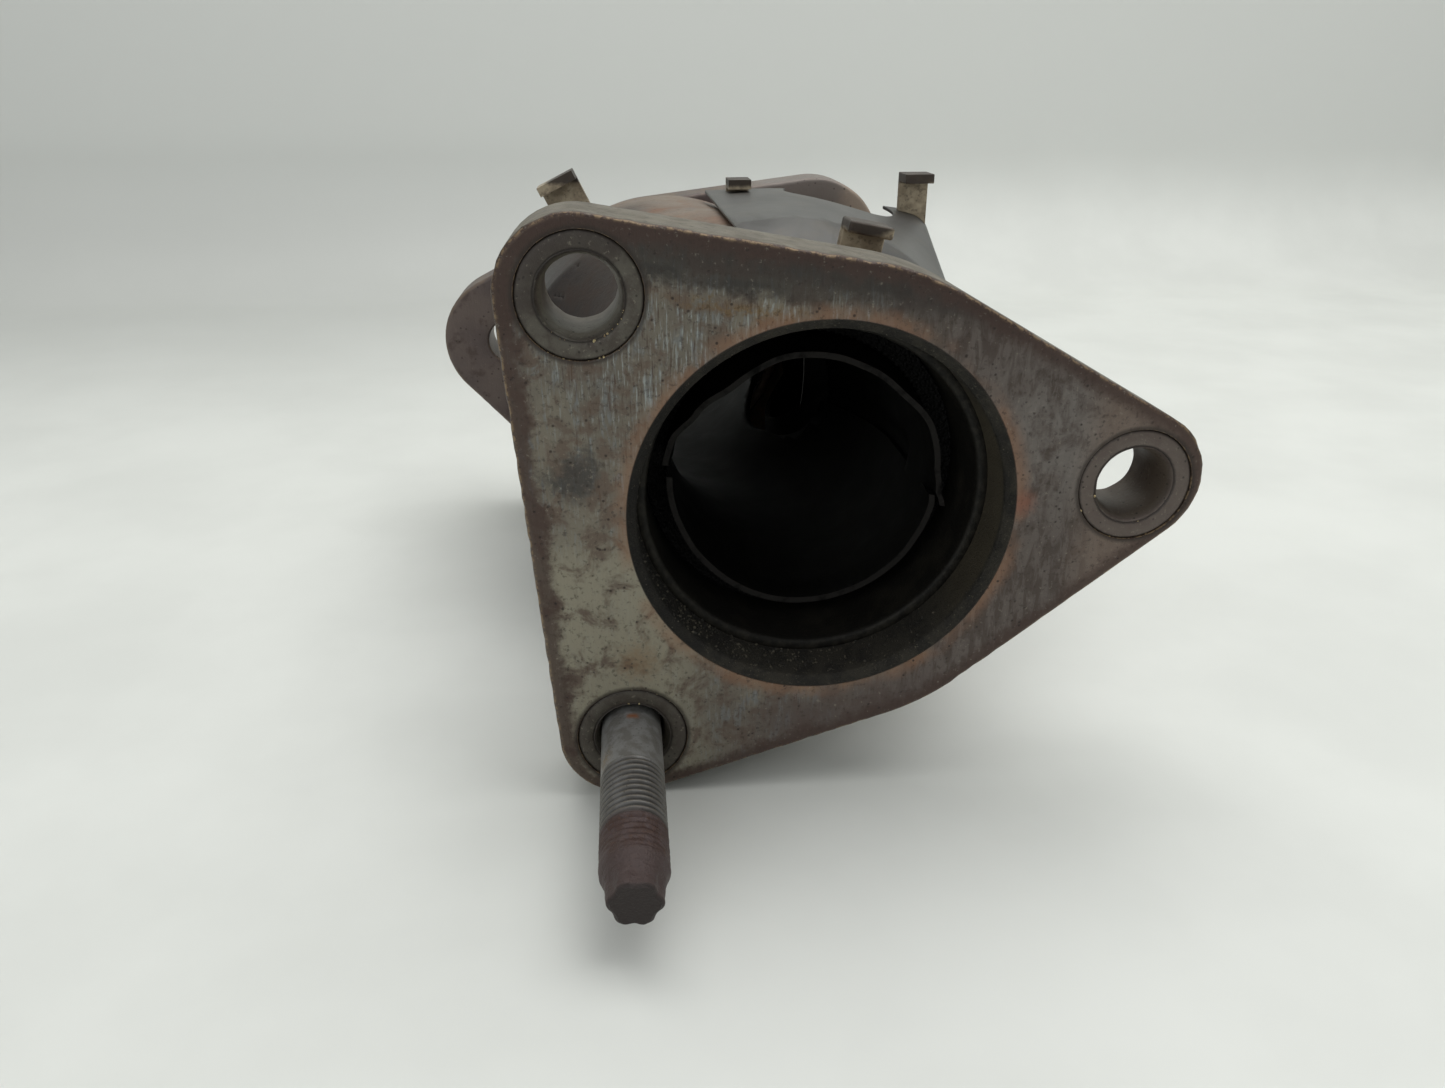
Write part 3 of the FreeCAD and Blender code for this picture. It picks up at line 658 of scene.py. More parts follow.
def rear_flange(material):
    seat_depth = REAR_FACE - COLLAR_SETBACK
    bevel, rim_radius = 1.0, 33.0
    bore = [(COLLAR, REAR_FRONT), (COLLAR, seat_depth), (BORE, seat_depth),
            (BORE, REAR_FACE - bevel), (BORE + bevel, REAR_FACE)]
    holes = [(REAR_PORT.x, REAR_PORT.z, 200, bore)]
    rim = (REAR_PORT.x, REAR_PORT.z, rim_radius)
    corners = []
    for name, radius in (("nose", 16.5), ("left", 16.5), ("foot", 12.0)):
        hole = mount_point(f"rear_{name}_hole")
        corners.append((hole.x, hole.z, radius))
        holes.append((hole.x, hole.z, 72, chamfered_hole(BOLT_HOLE, REAR_FRONT, REAR_FACE)))
    corners = [corners[0], rim, corners[1], corners[2], rim]
    flange = plate("rear_flange_plate", FRONT_SEAT, corners, holes, REAR_FRONT, REAR_FACE,
                   edge=0.9, spacing=2.4, chips=0.2)
    dress(flange, material, "rear_steel", "rear_flange")


def branch_flange(material):
    turn = math.radians(78.0)
    ear_reach, ear_radius, rim_radius = 36.0, 10.0, 29.0
    ear = Vector((math.cos(turn), math.sin(turn))) * ear_reach
    centre = Vector((BRANCH_PORT.x, BRANCH_PORT.y))
    rim = (*centre, rim_radius)
    ears = [centre - ear, centre + ear]
    corners = [(*ears[0], ear_radius), rim, (*ears[1], ear_radius), rim]
    top = GROUND + BRANCH_FLANGE_THICK
    bore = [(BRANCH + 0.5, GROUND), (BRANCH, GROUND + 0.5), (BRANCH, BRANCH_COLLAR_END),
            (BRANCH_COLLAR, BRANCH_COLLAR_END), (BRANCH_COLLAR, top)]
    holes = [(centre.x, centre.y, 160, bore)]
    for place in ears:
        holes.append((place.x, place.y, 64, chamfered_hole(BRANCH_BOLT_HOLE, GROUND, top)))
    flange = plate("branch_flange_plate", upright(0, 0), corners, holes, GROUND, top,
                   edge=0.9, spacing=2.4, chips=0.2)
    dress(flange, material, "rear_steel", "branch_flange")


# ---- collars, welds and mesh rings ----

def collar(name, seat, outer, wall, start, end, material):
    """A tube whose ends are rolled to a round lip."""
    lip = wall * 0.45
    inner = outer - wall
    outline = filleted([(outer, start, lip), (outer, end, lip * 0.6),
                        (inner, end, lip * 0.6), (inner, start, lip)], 6)
    long_wall = [(inner, start + (end - start) * k / 8) for k in range(7, 0, -1)]
    outline = outline[:-7] + long_wall + outline[-7:]
    made = ring(name + "_tube", seat, outline, 200, rough(2.2, 0.07, outer + start), sharp=60.0)
    dress(made, material, "collar_steel", name)


def collars(material):
    collar("front_collar", FRONT_SEAT, COLLAR, COLLAR_WALL, COLLAR_SETBACK, FRONT_COLLAR_END,
           material)
    collar("rear_collar", REAR_SEAT, COLLAR, COLLAR_WALL, REAR_COLLAR_END,
           REAR_FACE - COLLAR_SETBACK, material)
    collar("branch_collar", BRANCH_SEAT, BRANCH_COLLAR, BRANCH_COLLAR_WALL, BRANCH_COLLAR_END,
           BRANCH_COLLAR_TOP, material)


def weld(name, seat, radius, base, leg, ahead, material):
    """A fillet bead in the corner between a tube and a face, with the ripples of its passes."""
    outline = [(radius - 0.1, base), (radius + leg, base)]
    for k in range(1, 7):
        turn = math.pi / 2 * k / 7
        outline.append((radius + leg * math.cos(turn) ** 0.8,
                        base + ahead * leg * math.sin(turn) ** 0.8))
    outline += [(radius, base + ahead * leg), (radius - 0.1, base + ahead * leg * 0.5)]
    pitch = 1.5 / radius

    def ripple(turn, r, h):
        drift = 0.35 * noise.noise(Vector((turn * 3.0, base, 0)))
        wave = 0.5 + 0.5 * math.sin(2 * math.pi * (turn / pitch + drift + 0.15 * (r - radius)))
        out = max(0.0, min(1.0, (r - radius) / leg))
        up = max(0.0, min(1.0, abs(h - base) / leg))
        dip = 0.12 * leg * wave
        return r - dip * out * 0.8, h - ahead * dip * up * 0.8

    steps = 8 * round(2 * math.pi / pitch)
    made = ring(name + "_bead", seat, outline, steps, ripple, sharp=75.0)
    dress(made, material, "weld_metal", name)


def welds(material):
    flange_leg, neck_leg = 3.2, 1.5
    branch_neck = -34.0
    branch_flange_top = GROUND + BRANCH_FLANGE_THICK
    for name, seat, radius, base, leg, ahead in (
            ("front_flange_weld", FRONT_SEAT, COLLAR, FLANGE_THICK, flange_leg, 1),
            ("front_neck_weld", FRONT_SEAT, COLLAR, FRONT_NECK, neck_leg, -1),
            ("rear_flange_weld", REAR_SEAT, COLLAR, REAR_FRONT, flange_leg, -1),
            ("rear_neck_weld", REAR_SEAT, COLLAR, REAR_NECK, neck_leg, 1),
            ("branch_flange_weld", BRANCH_SEAT, BRANCH_COLLAR, branch_flange_top, flange_leg, 1),
            ("branch_neck_weld", BRANCH_SEAT, BRANCH_COLLAR, branch_neck, neck_leg, -1)):
        weld(name, seat, radius, base, leg, ahead, material)


def mesh_ring(name, seat, inner, outer, low, material):
    """A pressed ring of knitted wire: rows of loops stand out of its faces."""
    high = low + RING_LENGTH
    rows = 10
    outline = [(inner + 0.35, low + (high - low) * k / rows) for k in range(rows + 1)]
    outline += [(inner + (outer - inner) * k / 5, high) for k in range(1, 5)]
    outline += [(outer - 0.1, high - (high - low) * k / rows) for k in range(rows + 1)]
    outline += [(outer - (outer - inner) * k / 5, low) for k in range(1, 5)]

    def knit(turn, r, h):
        loops = math.sin(turn * 110 + 2.2 * math.sin(h * 2.6)) * math.sin(h * 5.2 + r * 4.0)
        return r - 0.12 + 0.14 * loops, h + 0.1 * loops * (0.2 if low < h < high else 1.0)

    made = ring(name + "_knit", seat, outline, 440, knit, sharp=80.0)
    dress(made, material, "wire_mesh", name)


def mesh_rings(material):
    run_inside = COLLAR - COLLAR_WALL
    branch_inside, branch_liner = BRANCH_COLLAR - BRANCH_COLLAR_WALL, 17.0
    mesh_ring("front_mesh_ring", FRONT_SEAT, LINER, run_inside, FRONT_RING, material)
    mesh_ring("rear_mesh_ring", REAR_SEAT, LINER, run_inside, REAR_RING, material)
    mesh_ring("branch_mesh_ring", BRANCH_SEAT, branch_liner, branch_inside, BRANCH_RING, material)


# ---- stud ----

STUD_TAIL = 23.0
NUT_THREAD_END = 14.0
THREAD_START = -11.6
THREAD_END = -32.5
RUST_START = -24.4
TIP_START = -34.7
STUD_END = -38.7
STUD_X = LOWER_HOLE.x - 0.2
STUD_Z = LOWER_HOLE.z - 0.2


def stud_radius(turn, depth):
    """The stud's radius: shank, helical thread that fills with rust, shoulder, lobed tip."""
    crest, root, pitch = 4.99, 4.42, 1.25
    grain = 0.05 * noise.noise(Vector((math.cos(turn) * 4, math.sin(turn) * 4, depth * 0.9)))
    if depth > NUT_THREAD_END or THREAD_START > depth > THREAD_END:
        phase = (depth / pitch + turn / (2 * math.pi)) % 1.0
        profile = min(1.0, abs(phase - 0.5) * 2 * 1.25)
        start = float(eased(depth, THREAD_START, THREAD_START - 1.2)) if depth < 0 else 1.0
        rust = 0.62 * float(eased(depth, RUST_START + 1.0, THREAD_END)) if depth < 0 else 0.0
        rust += 0.25 * float(eased(depth, RUST_START, RUST_START - 0.6)) if depth < 0 else 0.0
        groove = (crest - root) * (1 - profile) * start * (1 - min(1.0, rust))
        return crest - groove + grain * (0.5 + rust)
    if depth > THREAD_END:
        return crest + grain * 0.4 - 0.02
    if depth > TIP_START:
        share = float(eased(depth, THREAD_END + 0.4, TIP_START))
        return crest - 0.72 * share + 2.0 * grain
    taper = (depth - TIP_START) / (STUD_END - TIP_START)
    lobe = 0.5 + 0.5 * math.cos(6 * turn + 0.5)
    depth_of_flute = 0.5 * float(eased(taper, -0.05, 0.35))
    end_round = 0.5 * float(eased(taper, 0.85, 1.0))
    return 4.2 - 0.35 * taper - depth_of_flute * (1 - lobe) ** 1.5 - end_round + 2.0 * grain


def stud(material):
    depths = []
    depth = STUD_TAIL
    while depth > STUD_END:
        depths.append(depth)
        fine = depth > NUT_THREAD_END or depth < THREAD_START + 0.4
        depth -= 0.1 if fine else 0.8
    depths.append(STUD_END)
    seat = facing(STUD_X, STUD_Z)
    count = 120
    points = [polar(seat, turn, stud_radius(turn, depth), depth)
              for depth in depths for turn in turns(count)]
    for share in (0.66, 0.33):
        hollow = 0.18 * (1 - share)
        for turn in turns(count):
            r = stud_radius(turn, STUD_END) * share
            bump = 0.12 * noise.noise(Vector((r * math.cos(turn), r * math.sin(turn), 7.0)))
            points.append(polar(seat, turn, r, STUD_END + hollow + abs(bump)))
    points.append((STUD_X, STUD_END + 0.15, STUD_Z))
    last = len(points) - 1 - count
    faces = []
    for start in range(0, last, count):
        faces += bridge(start, start + count, count)
    faces += [(last + k, last + (k + 1) % count, last + count) for k in range(count)]
    faces.append(tuple(range(count - 1, -1, -1)))
    made = add_mesh("stud_body", points, faces, sharp=60.0)
    dress(made, material, "stud_steel", "flange_stud")


# ---- pieces that keep their CAD form, with softened edges ----

def softened(node, name, width, material, slot, segments=3):
    """A CAD node's form with its edges rounded."""
    source = frame["nodes"][node].data
    work = bmesh.new()
    work.from_mesh(source)
    bmesh.ops.remove_doubles(work, verts=work.verts, dist=1e-6)
    bmesh.ops.dissolve_limit(work, angle_limit=math.radians(0.8), verts=work.verts, edges=work.edges)
    edges = [e for e in work.edges if e.is_manifold and e.calc_face_angle() > math.radians(35)]
    bmesh.ops.bevel(work, geom=edges, offset=width * MM, segments=segments, profile=0.5,
                    affect="EDGES", clamp_overlap=True)
    obj = finished(name, work, sharp=50.0)
    obj.modifiers.new("even_normals", "WEIGHTED_NORMAL").keep_sharp = True
    return dress(obj, material, slot, node)


# ---- grains and specks ----

def grains(name, crumbs, material, slot, seed):
    """Small rough crumbs that sit on a wall, each given as (place, size)."""
    source = random.Random(seed)
    work = bmesh.new()
    for place, size in crumbs:
        made = bmesh.ops.create_icosphere(work, subdivisions=1, radius=size * MM)
        squeeze = Vector([source.uniform(0.6, 1.2) for _ in range(3)])
        for vertex in made["verts"]:
            wobble = 1 + source.uniform(-0.25, 0.25)
            vertex.co = Vector(place) * MM + vertex.co * wobble * squeeze
    return dress(finished(name, work, 30.0), material, slot)


def soot_grains(material):
    """Crumbs of soot on the lower wall of the front bore, thickest at the lower left."""
    source = random.Random(11)
    crumbs = []
    for _ in range(900):
        turn = math.radians(source.gauss(246, 30))
        depth = 1.3 + 8.0 * source.random() ** 0.9
        size = 0.07 + 0.22 * source.random() ** 3
        crumbs.append((polar(FRONT_SEAT, turn, BORE - size * 0.35, depth), size))
    for _ in range(420):
        turn = math.radians(source.uniform(0, 360))
        share = source.random()
        size = 0.05 + 0.11 * source.random() ** 2
        reach = BORE_MOUTH - (BORE_MOUTH - BORE) * share - size * 0.2
        crumbs.append((polar(FRONT_SEAT, turn, reach, 0.1 + 0.95 * share), size))
    grains("soot_crumbs", crumbs, material, "collar_steel", 3)


def ring_specks(material):
    """Bright crumbs in the grooves round the bolt holes, placed on some arcs of each: painted glints.
    """
    source = random.Random(23)
    crumbs = []
    for hole, spread, count in ((UPPER_HOLE, (215, 345), 34), (LOWER_HOLE, (40, 110), 9),
                                (NOSE_HOLE, (190, 300), 6)):
        for _ in range(count):
            outer = source.random() < 0.65
            reach = (BUSH + 0.12 if outer else 6.35) + source.uniform(-0.12, 0.12)
            turn = math.radians(source.uniform(*spread))
            size = source.uniform(0.08, 0.24)
            crumbs.append((polar(facing(hole.x, hole.z), turn, reach, 0.16 + size * 0.5), size))
    grains("groove_specks", crumbs, material, "bush_steel", 5)


# ---- materials ----

def tone(colour):
    """A colour from its display values, 0 to 255. A socket stays as it is."""
    if isinstance(colour, bpy.types.NodeSocket):
        return colour
    straight = []
    for value in (part / 255 for part in colour):
        low = value <= 0.04045
        straight.append(value / 12.92 if low else ((value + 0.055) / 1.055) ** 2.4)
    return (*straight, 1.0)


class Paint:
    """Wires one procedural material. Places are in millimetres, in the CAD's frame."""

    def __init__(self, name, metallic=0.3, gloss=0.5):
        self.material = bpy.data.materials.new(name)
        self.material.use_nodes = True
        self.tree = self.material.node_tree
        self.tree.nodes.clear()
        self.shader = self.tree.nodes.new("ShaderNodeBsdfPrincipled")
        self.shader.inputs["Metallic"].default_value = metallic
        self.shader.inputs["Specular IOR Level"].default_value = gloss
        output = self.tree.nodes.new("ShaderNodeOutputMaterial")
        self.tree.links.new(self.shader.outputs[0], output.inputs[0])
        coordinates = self.tree.nodes.new("ShaderNodeTexCoord")
        self.place = self.vector("MULTIPLY", coordinates.outputs["Object"], (1 / MM,) * 3)
        split = self.tree.nodes.new("ShaderNodeSeparateXYZ")
        self.tree.links.new(self.place, split.inputs[0])
        self.x, self.y, self.z = split.outputs

    def feed(self, value, socket):
        if isinstance(value, bpy.types.NodeSocket):
            self.tree.links.new(value, socket)
        else:
            socket.default_value = value

    def combine(self, kind, operation, first, second):
        node = self.tree.nodes.new(kind)
        node.operation = operation
        self.feed(first, node.inputs[0])
        self.feed(second, node.inputs[1])
        return node.outputs[0]

    def vector(self, operation, first, second):
        return self.combine("ShaderNodeVectorMath", operation, first, second)

    def math(self, operation, first, second=0.0):
        return self.combine("ShaderNodeMath", operation, first, second)

    def texture(self, kind, size, stretch):
        """A texture whose features are about this many millimetres wide."""
        node = self.tree.nodes.new(kind)
        scaled = self.vector("DIVIDE", self.place, tuple(size * s for s in stretch))
        self.tree.links.new(scaled, node.inputs["Vector"])
        node.inputs["Scale"].default_value = 1.0
        return node

    def noise(self, size, detail=3.0, roughness=0.55, stretch=(1, 1, 1), distortion=0.0):
        """Noise from 0 to 1."""
        node = self.texture("ShaderNodeTexNoise", size, stretch)
        node.inputs["Detail"].default_value = detail
        node.inputs["Roughness"].default_value = roughness
        node.inputs["Distortion"].default_value = distortion
        return node.outputs[0]

    def cells(self, size, stretch=(1, 1, 1)):
        """Distance to the nearest of scattered points."""
        return self.texture("ShaderNodeTexVoronoi", size, stretch).outputs["Distance"]

    def step(self, value, start, end):
        """0 below start, 1 above end, smooth between. Start may be the larger."""
        node = self.tree.nodes.new("ShaderNodeMapRange")
        node.interpolation_type = "SMOOTHSTEP"
        self.feed(value, node.inputs["Value"])
        node.inputs["From Min"].default_value = min(start, end)
        node.inputs["From Max"].default_value = max(start, end)
        if start > end:
            node.inputs["To Min"].default_value = 1.0
            node.inputs["To Max"].default_value = 0.0
        return node.outputs[0]

    def times(self, *values):
        return reduce(lambda left, right: self.math("MULTIPLY", left, right), values)

    def plus(self, *values):
        return reduce(lambda left, right: self.math("ADD", left, right), values)

    def spread(self, value, low, high):
        """Turns a 0 to 1 value into one from low to high."""
        return self.plus(self.times(value, high - low), low)

    def mix(self, share, first, second):
        node = self.tree.nodes.new("ShaderNodeMix")
        node.data_type = "RGBA"
        self.feed(share, node.inputs[0])
        self.feed(tone(first), node.inputs[6])
        self.feed(tone(second), node.inputs[7])
        return node.outputs[2]

    def coat(self, colour, strength, *masks):
        """Lays a colour over what is there, as strongly as the masks' product allows."""
        self.colour = self.mix(self.times(*masks, strength), self.colour, colour)

    def from_axis(self, x, z):
        """Distance from a line along Y."""
        aside = self.math("SUBTRACT", self.x, x)
        above = self.math("SUBTRACT", self.z, z)
        square = self.plus(self.times(aside, aside), self.times(above, above))
        return self.math("SQRT", square)

    def band(self, value, centre, width):
        """1 at the centre, 0 a width away."""
        off = self.math("ABSOLUTE", self.math("SUBTRACT", value, centre))
        return self.step(off, width, 0.0)

    def attribute(self, name):
        node = self.tree.nodes.new("ShaderNodeAttribute")
        node.attribute_name = name
        return node.outputs["Fac"]

    def bump(self, height, depth):
        """Stacks a bump, depth in millimetres, on those already there."""
        node = self.tree.nodes.new("ShaderNodeBump")
        node.inputs["Distance"].default_value = depth * MM
        self.feed(height, node.inputs["Height"])
        normal = self.shader.inputs["Normal"]
        if normal.links:
            self.tree.links.new(normal.links[0].from_socket, node.inputs["Normal"])
        self.tree.links.new(node.outputs[0], normal)

    def done(self, roughness):
        self.feed(self.colour, self.shader.inputs["Base Color"])
        self.feed(roughness, self.shader.inputs["Roughness"])
        return self.material


def soot(paint):
    """The black, crumbly coat inside the pipes."""
    crumbs = paint.step(paint.noise(0.5, 2.0, 0.7), 0.62, 0.75)
    patches = paint.step(paint.noise(6.0), 0.45, 0.7)
    base = paint.mix(patches, (26, 25, 22), (38, 36, 31))
    return paint.mix(paint.times(crumbs, 0.5), base, (64, 60, 50))


def face_paint():
    """The front flange: brushed, heat-tinted and pitted, with soot in its bore."""
    p = Paint("flange_heat_tint", 0.3, 0.4)
    margin = p.attribute("margin")
    broad = p.noise(15.0, 3.0, 0.6)
    middle = p.noise(4.5, 4.0, 0.65, distortion=0.4)
    fine = p.noise(0.9, 3.0, 0.7)
    streaks = p.noise(0.42, 3.0, 0.65, stretch=(1.0, 1.0, 10.0))
    wide_streaks = p.noise(1.5, 3.0, 0.65, stretch=(1.0, 1.0, 4.0), distortion=0.8)

    p.colour = p.mix(p.step(broad, 0.35, 0.68), (100, 95, 86), (117, 111, 98))
    p.coat((94, 80, 69), 0.8, p.step(middle, 0.45, 0.62))
    blue = p.times(p.step(wide_streaks, 0.5, 0.62), p.step(p.x, 24.0, -4.0), p.step(middle, 0.6, 0.4))
    p.coat((111, 114, 113), 0.8, blue)
    brown_lines = p.times(p.step(streaks, 0.52, 0.64), p.step(wide_streaks, 0.42, 0.6))
    p.coat((84, 66, 53), 0.55, brown_lines)
    brushed = p.times(p.step(p.from_axis(-14.0, 33.0), 34.0, 16.0), p.step(p.z, 37.0, 32.0))
    bright_lines = p.times(p.step(streaks, 0.47, 0.36), p.step(middle, 0.62, 0.42))
    share = p.spread(brushed, 0.25, 0.9)
    p.coat((146, 151, 148), 1.0, bright_lines, share)
    dark_lines = p.times(p.step(streaks, 0.55, 0.68), brushed)
    p.coat((64, 48, 38), 0.6, dark_lines)

    drift = p.plus(p.x, p.times(broad, 30.0), p.times(middle, 10.0))
    right = p.step(drift, 16.0, 40.0)
    mauve = p.mix(p.step(wide_streaks, 0.42, 0.6), (70, 60, 55), (92, 84, 79))
    p.coat(mauve, 0.94, right)
    pale = p.times(p.step(p.from_axis(36.0, 12.0), 20.0, 4.0), p.step(middle, 0.35, 0.6))
    p.coat((118, 113, 108), 0.7, pale)
    low_right = p.times(p.step(p.plus(p.z, p.times(broad, 16.0)), -14.0, -30.0),
                        p.step(p.x, -24.0, 0.0))
    p.coat((76, 64, 61), 0.75, low_right)
    low_left = p.times(p.step(p.z, 1.0, -9.0), p.step(p.x, -14.0, -26.0), p.step(middle, 0.66, 0.46))
    p.coat((142, 137, 119), 0.8, low_left)
    nose = p.step(p.plus(p.x, p.times(middle, 5.0)), 40.0, 47.0)
    p.coat((116, 101, 90), 0.7, nose)

    slope = p.plus(p.z, p.times(p.x, 0.17), p.times(middle, 6.0))
    top = p.times(p.step(slope, 33.5, 38.0), p.step(p.x, 46.0, 24.0))
    p.coat(p.mix(p.step(middle, 0.4, 0.6), (46, 42, 39), (58, 51, 47)), 0.9, top)
    smoke = p.times(p.band(slope, 35.6, 2.2), p.step(p.x, 6.0, -14.0), p.step(broad, 0.3, 0.5))
    p.coat((46, 44, 42), 0.85, smoke)
    ochre = p.times(p.band(slope, 32.6, 1.6), p.band(p.x, -12.0, 18.0), p.step(fine, 0.4, 0.6))
    p.coat((118, 94, 58), 0.7, ochre)

    corner = p.plus(p.z, p.times(p.x, -1.0), p.times(middle, 8.0))
    p.coat((62, 53, 46), 0.85, p.step(corner, 74.0, 82.0))

    edge = p.step(p.plus(margin, p.times(middle, -3.4), p.times(fine, -1.4)), 1.2, -1.2)
    left_edge = p.step(p.plus(margin, p.times(middle, -5.5), p.times(fine, -1.5)), 0.6, -1.6)
    left_edge = p.times(left_edge, p.step(p.x, -18.0, -30.0))
    p.coat((66, 50, 44), 0.85, p.math("MAXIMUM", edge, left_edge))

    rim = p.from_axis(0.0, 0.0)
    tint = p.step(p.plus(rim, p.times(middle, -2.6)), 31.6, 29.0)
    p.coat((134, 100, 76), 0.6, tint, p.step(broad, 0.36, 0.56))
    heat_spot = p.step(p.plus(p.from_axis(31.0, 1.0), p.times(fine, 2.0)), 4.2, 1.0)
    p.coat((132, 86, 68), 0.7, heat_spot)
    stain = p.step(p.plus(p.from_axis(-37.2, 7.5), p.times(middle, 10.0)), 10.5, 7.0)
    p.coat((58, 56, 54), 0.85, stain, p.step(fine, 0.3, 0.48))
    rust_spot = p.step(p.plus(p.from_axis(-29.0, -24.0), p.times(fine, 8.0)), 9.0, 4.0)
    p.coat((124, 98, 70), 0.55, rust_spot)

    pits = p.step(p.cells(1.3), 0.20, 0.10)
    pits = p.times(pits, p.step(middle, 0.44, 0.58))
    p.coat((46, 38, 33), 0.8, pits)
    p.coat((52, 44, 38), 0.55, p.step(fine, 0.53, 0.68))
    p.coat((140, 134, 120), 0.45, p.step(fine, 0.4, 0.28))

    for hole in (UPPER_HOLE, NOSE_HOLE, LOWER_HOLE):
        ring_line = p.band(p.plus(p.from_axis(hole.x, hole.z), p.times(fine, 0.5)), 9.45, 0.7)
        p.coat((44, 37, 32), 0.75, ring_line)

    side_colour = p.mix(p.step(p.noise(3.0, 3.0), 0.4, 0.62), (110, 103, 89), (94, 87, 75))
    dirt = p.step(p.cells(2.2), 0.20, 0.08)
    side_colour = p.mix(p.times(dirt, 0.9), side_colour, (44, 38, 34))
    side_colour = p.mix(p.times(p.step(middle, 0.5, 0.62), 0.6), side_colour, (78, 70, 57))
    p.coat(side_colour, 1.0, p.step(p.y, 0.3, 0.8))
    # The front edge's rounding turns tan: partly wear, partly a painted highlight where the edge
    # catches light.
    worn_edge_and_highlight = p.times(p.band(p.y, 0.22, 0.3), p.step(margin, 0.9, 0.3), p.step(fine, 0.42, 0.6))
    p.coat((150, 128, 98), 0.7, worn_edge_and_highlight)

    inside = p.step(rim, 30.15, 29.9)
    black = p.mix(p.step(middle, 0.4, 0.6), (38, 36, 32), (54, 51, 44))
    black = p.mix(p.times(p.step(p.noise(0.45, 2.0, 0.7), 0.6, 0.74), 0.5), black, (96, 90, 76))
    p.coat(black, 1.0, inside)
    # Painted shade: the bore's left wall is darkened.
    left_wall_painted_shade = p.times(inside, p.step(p.x, -14.0, -24.0))
    p.coat((16, 15, 13), 0.6, left_wall_painted_shade)
    # Painted highlight: the bore's right wall is lightened to olive-grey.
    right_wall_painted_highlight = p.times(inside, p.step(p.x, 18.0, 27.0), p.step(p.y, 1.2, 2.4))
    p.coat((92, 84, 66), 0.5, right_wall_painted_highlight)

    p.bump(streaks, 0.05)
    p.bump(p.times(pits, -1.0), 0.1)
    p.bump(fine, 0.08)
    p.bump(p.times(inside, p.noise(0.5, 3.0, 0.8)), 0.5)
    rough_face = p.spread(middle, 0.34, 0.6)
    return p.done(p.plus(rough_face, p.times(inside, 0.25)))


def bush_paint():
    """The bushes: olive-grey turned rings, darker at the groove, lighter down the hole."""
    p = Paint("bush_turned_steel", 0.3)
    middle = p.noise(2.6, 4.0, 0.65)
    fine = p.noise(0.7, 3.0, 0.7)
    p.colour = p.mix(p.step(middle, 0.4, 0.62), (84, 80, 71), (68, 61, 54))
    p.coat((98, 86, 80), 0.7, p.step(p.x, 0.0, 30.0))
    p.coat((108, 103, 90), 0.6, p.step(p.y, 0.7, 1.8))
    p.coat((80, 72, 62), 0.55, p.step(p.y, 4.0, 8.0))
    # Painted shade: the upper part of the upper bush is darkened.
    upper_arc_painted_shade = p.times(p.step(p.plus(p.z, p.times(p.x, -0.5), p.times(middle, 9.0)), 54.0, 62.0),
                        p.step(p.y, 2.0, 0.6))
    p.coat((58, 51, 46), 0.8, upper_arc_painted_shade)
    nose_wall = p.times(p.step(p.x, 30.0, 40.0), p.step(p.y, 0.7, 2.0))
    p.coat((78, 66, 57), 0.7, nose_wall)
    low = p.times(p.step(p.z, -20.0, -30.0), p.step(p.y, 0.6, 0.3))
    p.coat((62, 56, 48), 0.5, low)
    p.coat((126, 120, 106), 0.5, p.step(fine, 0.4, 0.3))
    for hole in (UPPER_HOLE, NOSE_HOLE, LOWER_HOLE):
        away = p.from_axis(hole.x, hole.z)
        for radius, width in ((BUSH, 0.5), (6.4, 0.35)):
            groove = p.band(p.plus(away, p.times(fine, 0.3)), radius + 0.1, width)
            p.coat((36, 30, 26), 0.85, groove)
    specks = p.step(p.cells(1.2), 0.20, 0.10)
    p.coat((38, 33, 28), 0.75, specks)
    turning = p.noise(0.22, 2.0, 0.6, stretch=(1, 6, 1))
    p.bump(turning, 0.03)
    p.bump(fine, 0.08)
    return p.done(p.spread(middle, 0.4, 0.62))


def speck_paint():
    """Crumbs whose bright colour is a painted glint."""
    p = Paint("painted_glint_crumbs", 0.55)
    p.colour = p.mix(p.step(p.noise(0.6), 0.4, 0.6), (190, 174, 132), (118, 100, 74))
    return p.done(p.spread(p.noise(0.5), 0.25, 0.4))


def soot_paint():
    """Loose crumbs of soot."""
    p = Paint("soot_black", 0.1)
    p.bump(p.noise(0.5, 3.0, 0.75), 0.3)
    p.colour = p.mix(p.step(p.noise(1.1, 3.0), 0.45, 0.65), (40, 38, 33), (88, 83, 70))
    return p.done(p.spread(p.noise(2.0), 0.5, 0.8))


def collar_paint():
    """The collars: sooty inside, brown scale outside, with a lip lighter in patches, partly wear and
    partly a painted highlight.
    """
    p = Paint("collar_scale", 0.2, 0.2)
    middle = p.noise(4.0, 4.0)
    outside = p.mix(p.step(middle, 0.4, 0.6), (84, 70, 60), (108, 92, 76))
    front = p.step(p.y, 13.5, 12.0)
    inner = p.math("MAXIMUM", front, p.step(p.from_axis(0.0, 0.0), 27.4, 27.0))
    inner = p.times(inner, p.step(p.y, 60.0, 40.0))
    p.colour = p.mix(inner, outside, soot(p))
    # The lip is lighter in patches: partly wear, partly a painted highlight.
    lip = p.times(p.band(p.y, 9.5, 0.5), p.step(p.noise(1.4), 0.42, 0.62))
    p.coat((56, 53, 46), 0.4, lip)
    p.bump(p.noise(0.6, 3.0, 0.7), 0.12)
    return p.done(p.spread(middle, 0.42, 0.64))


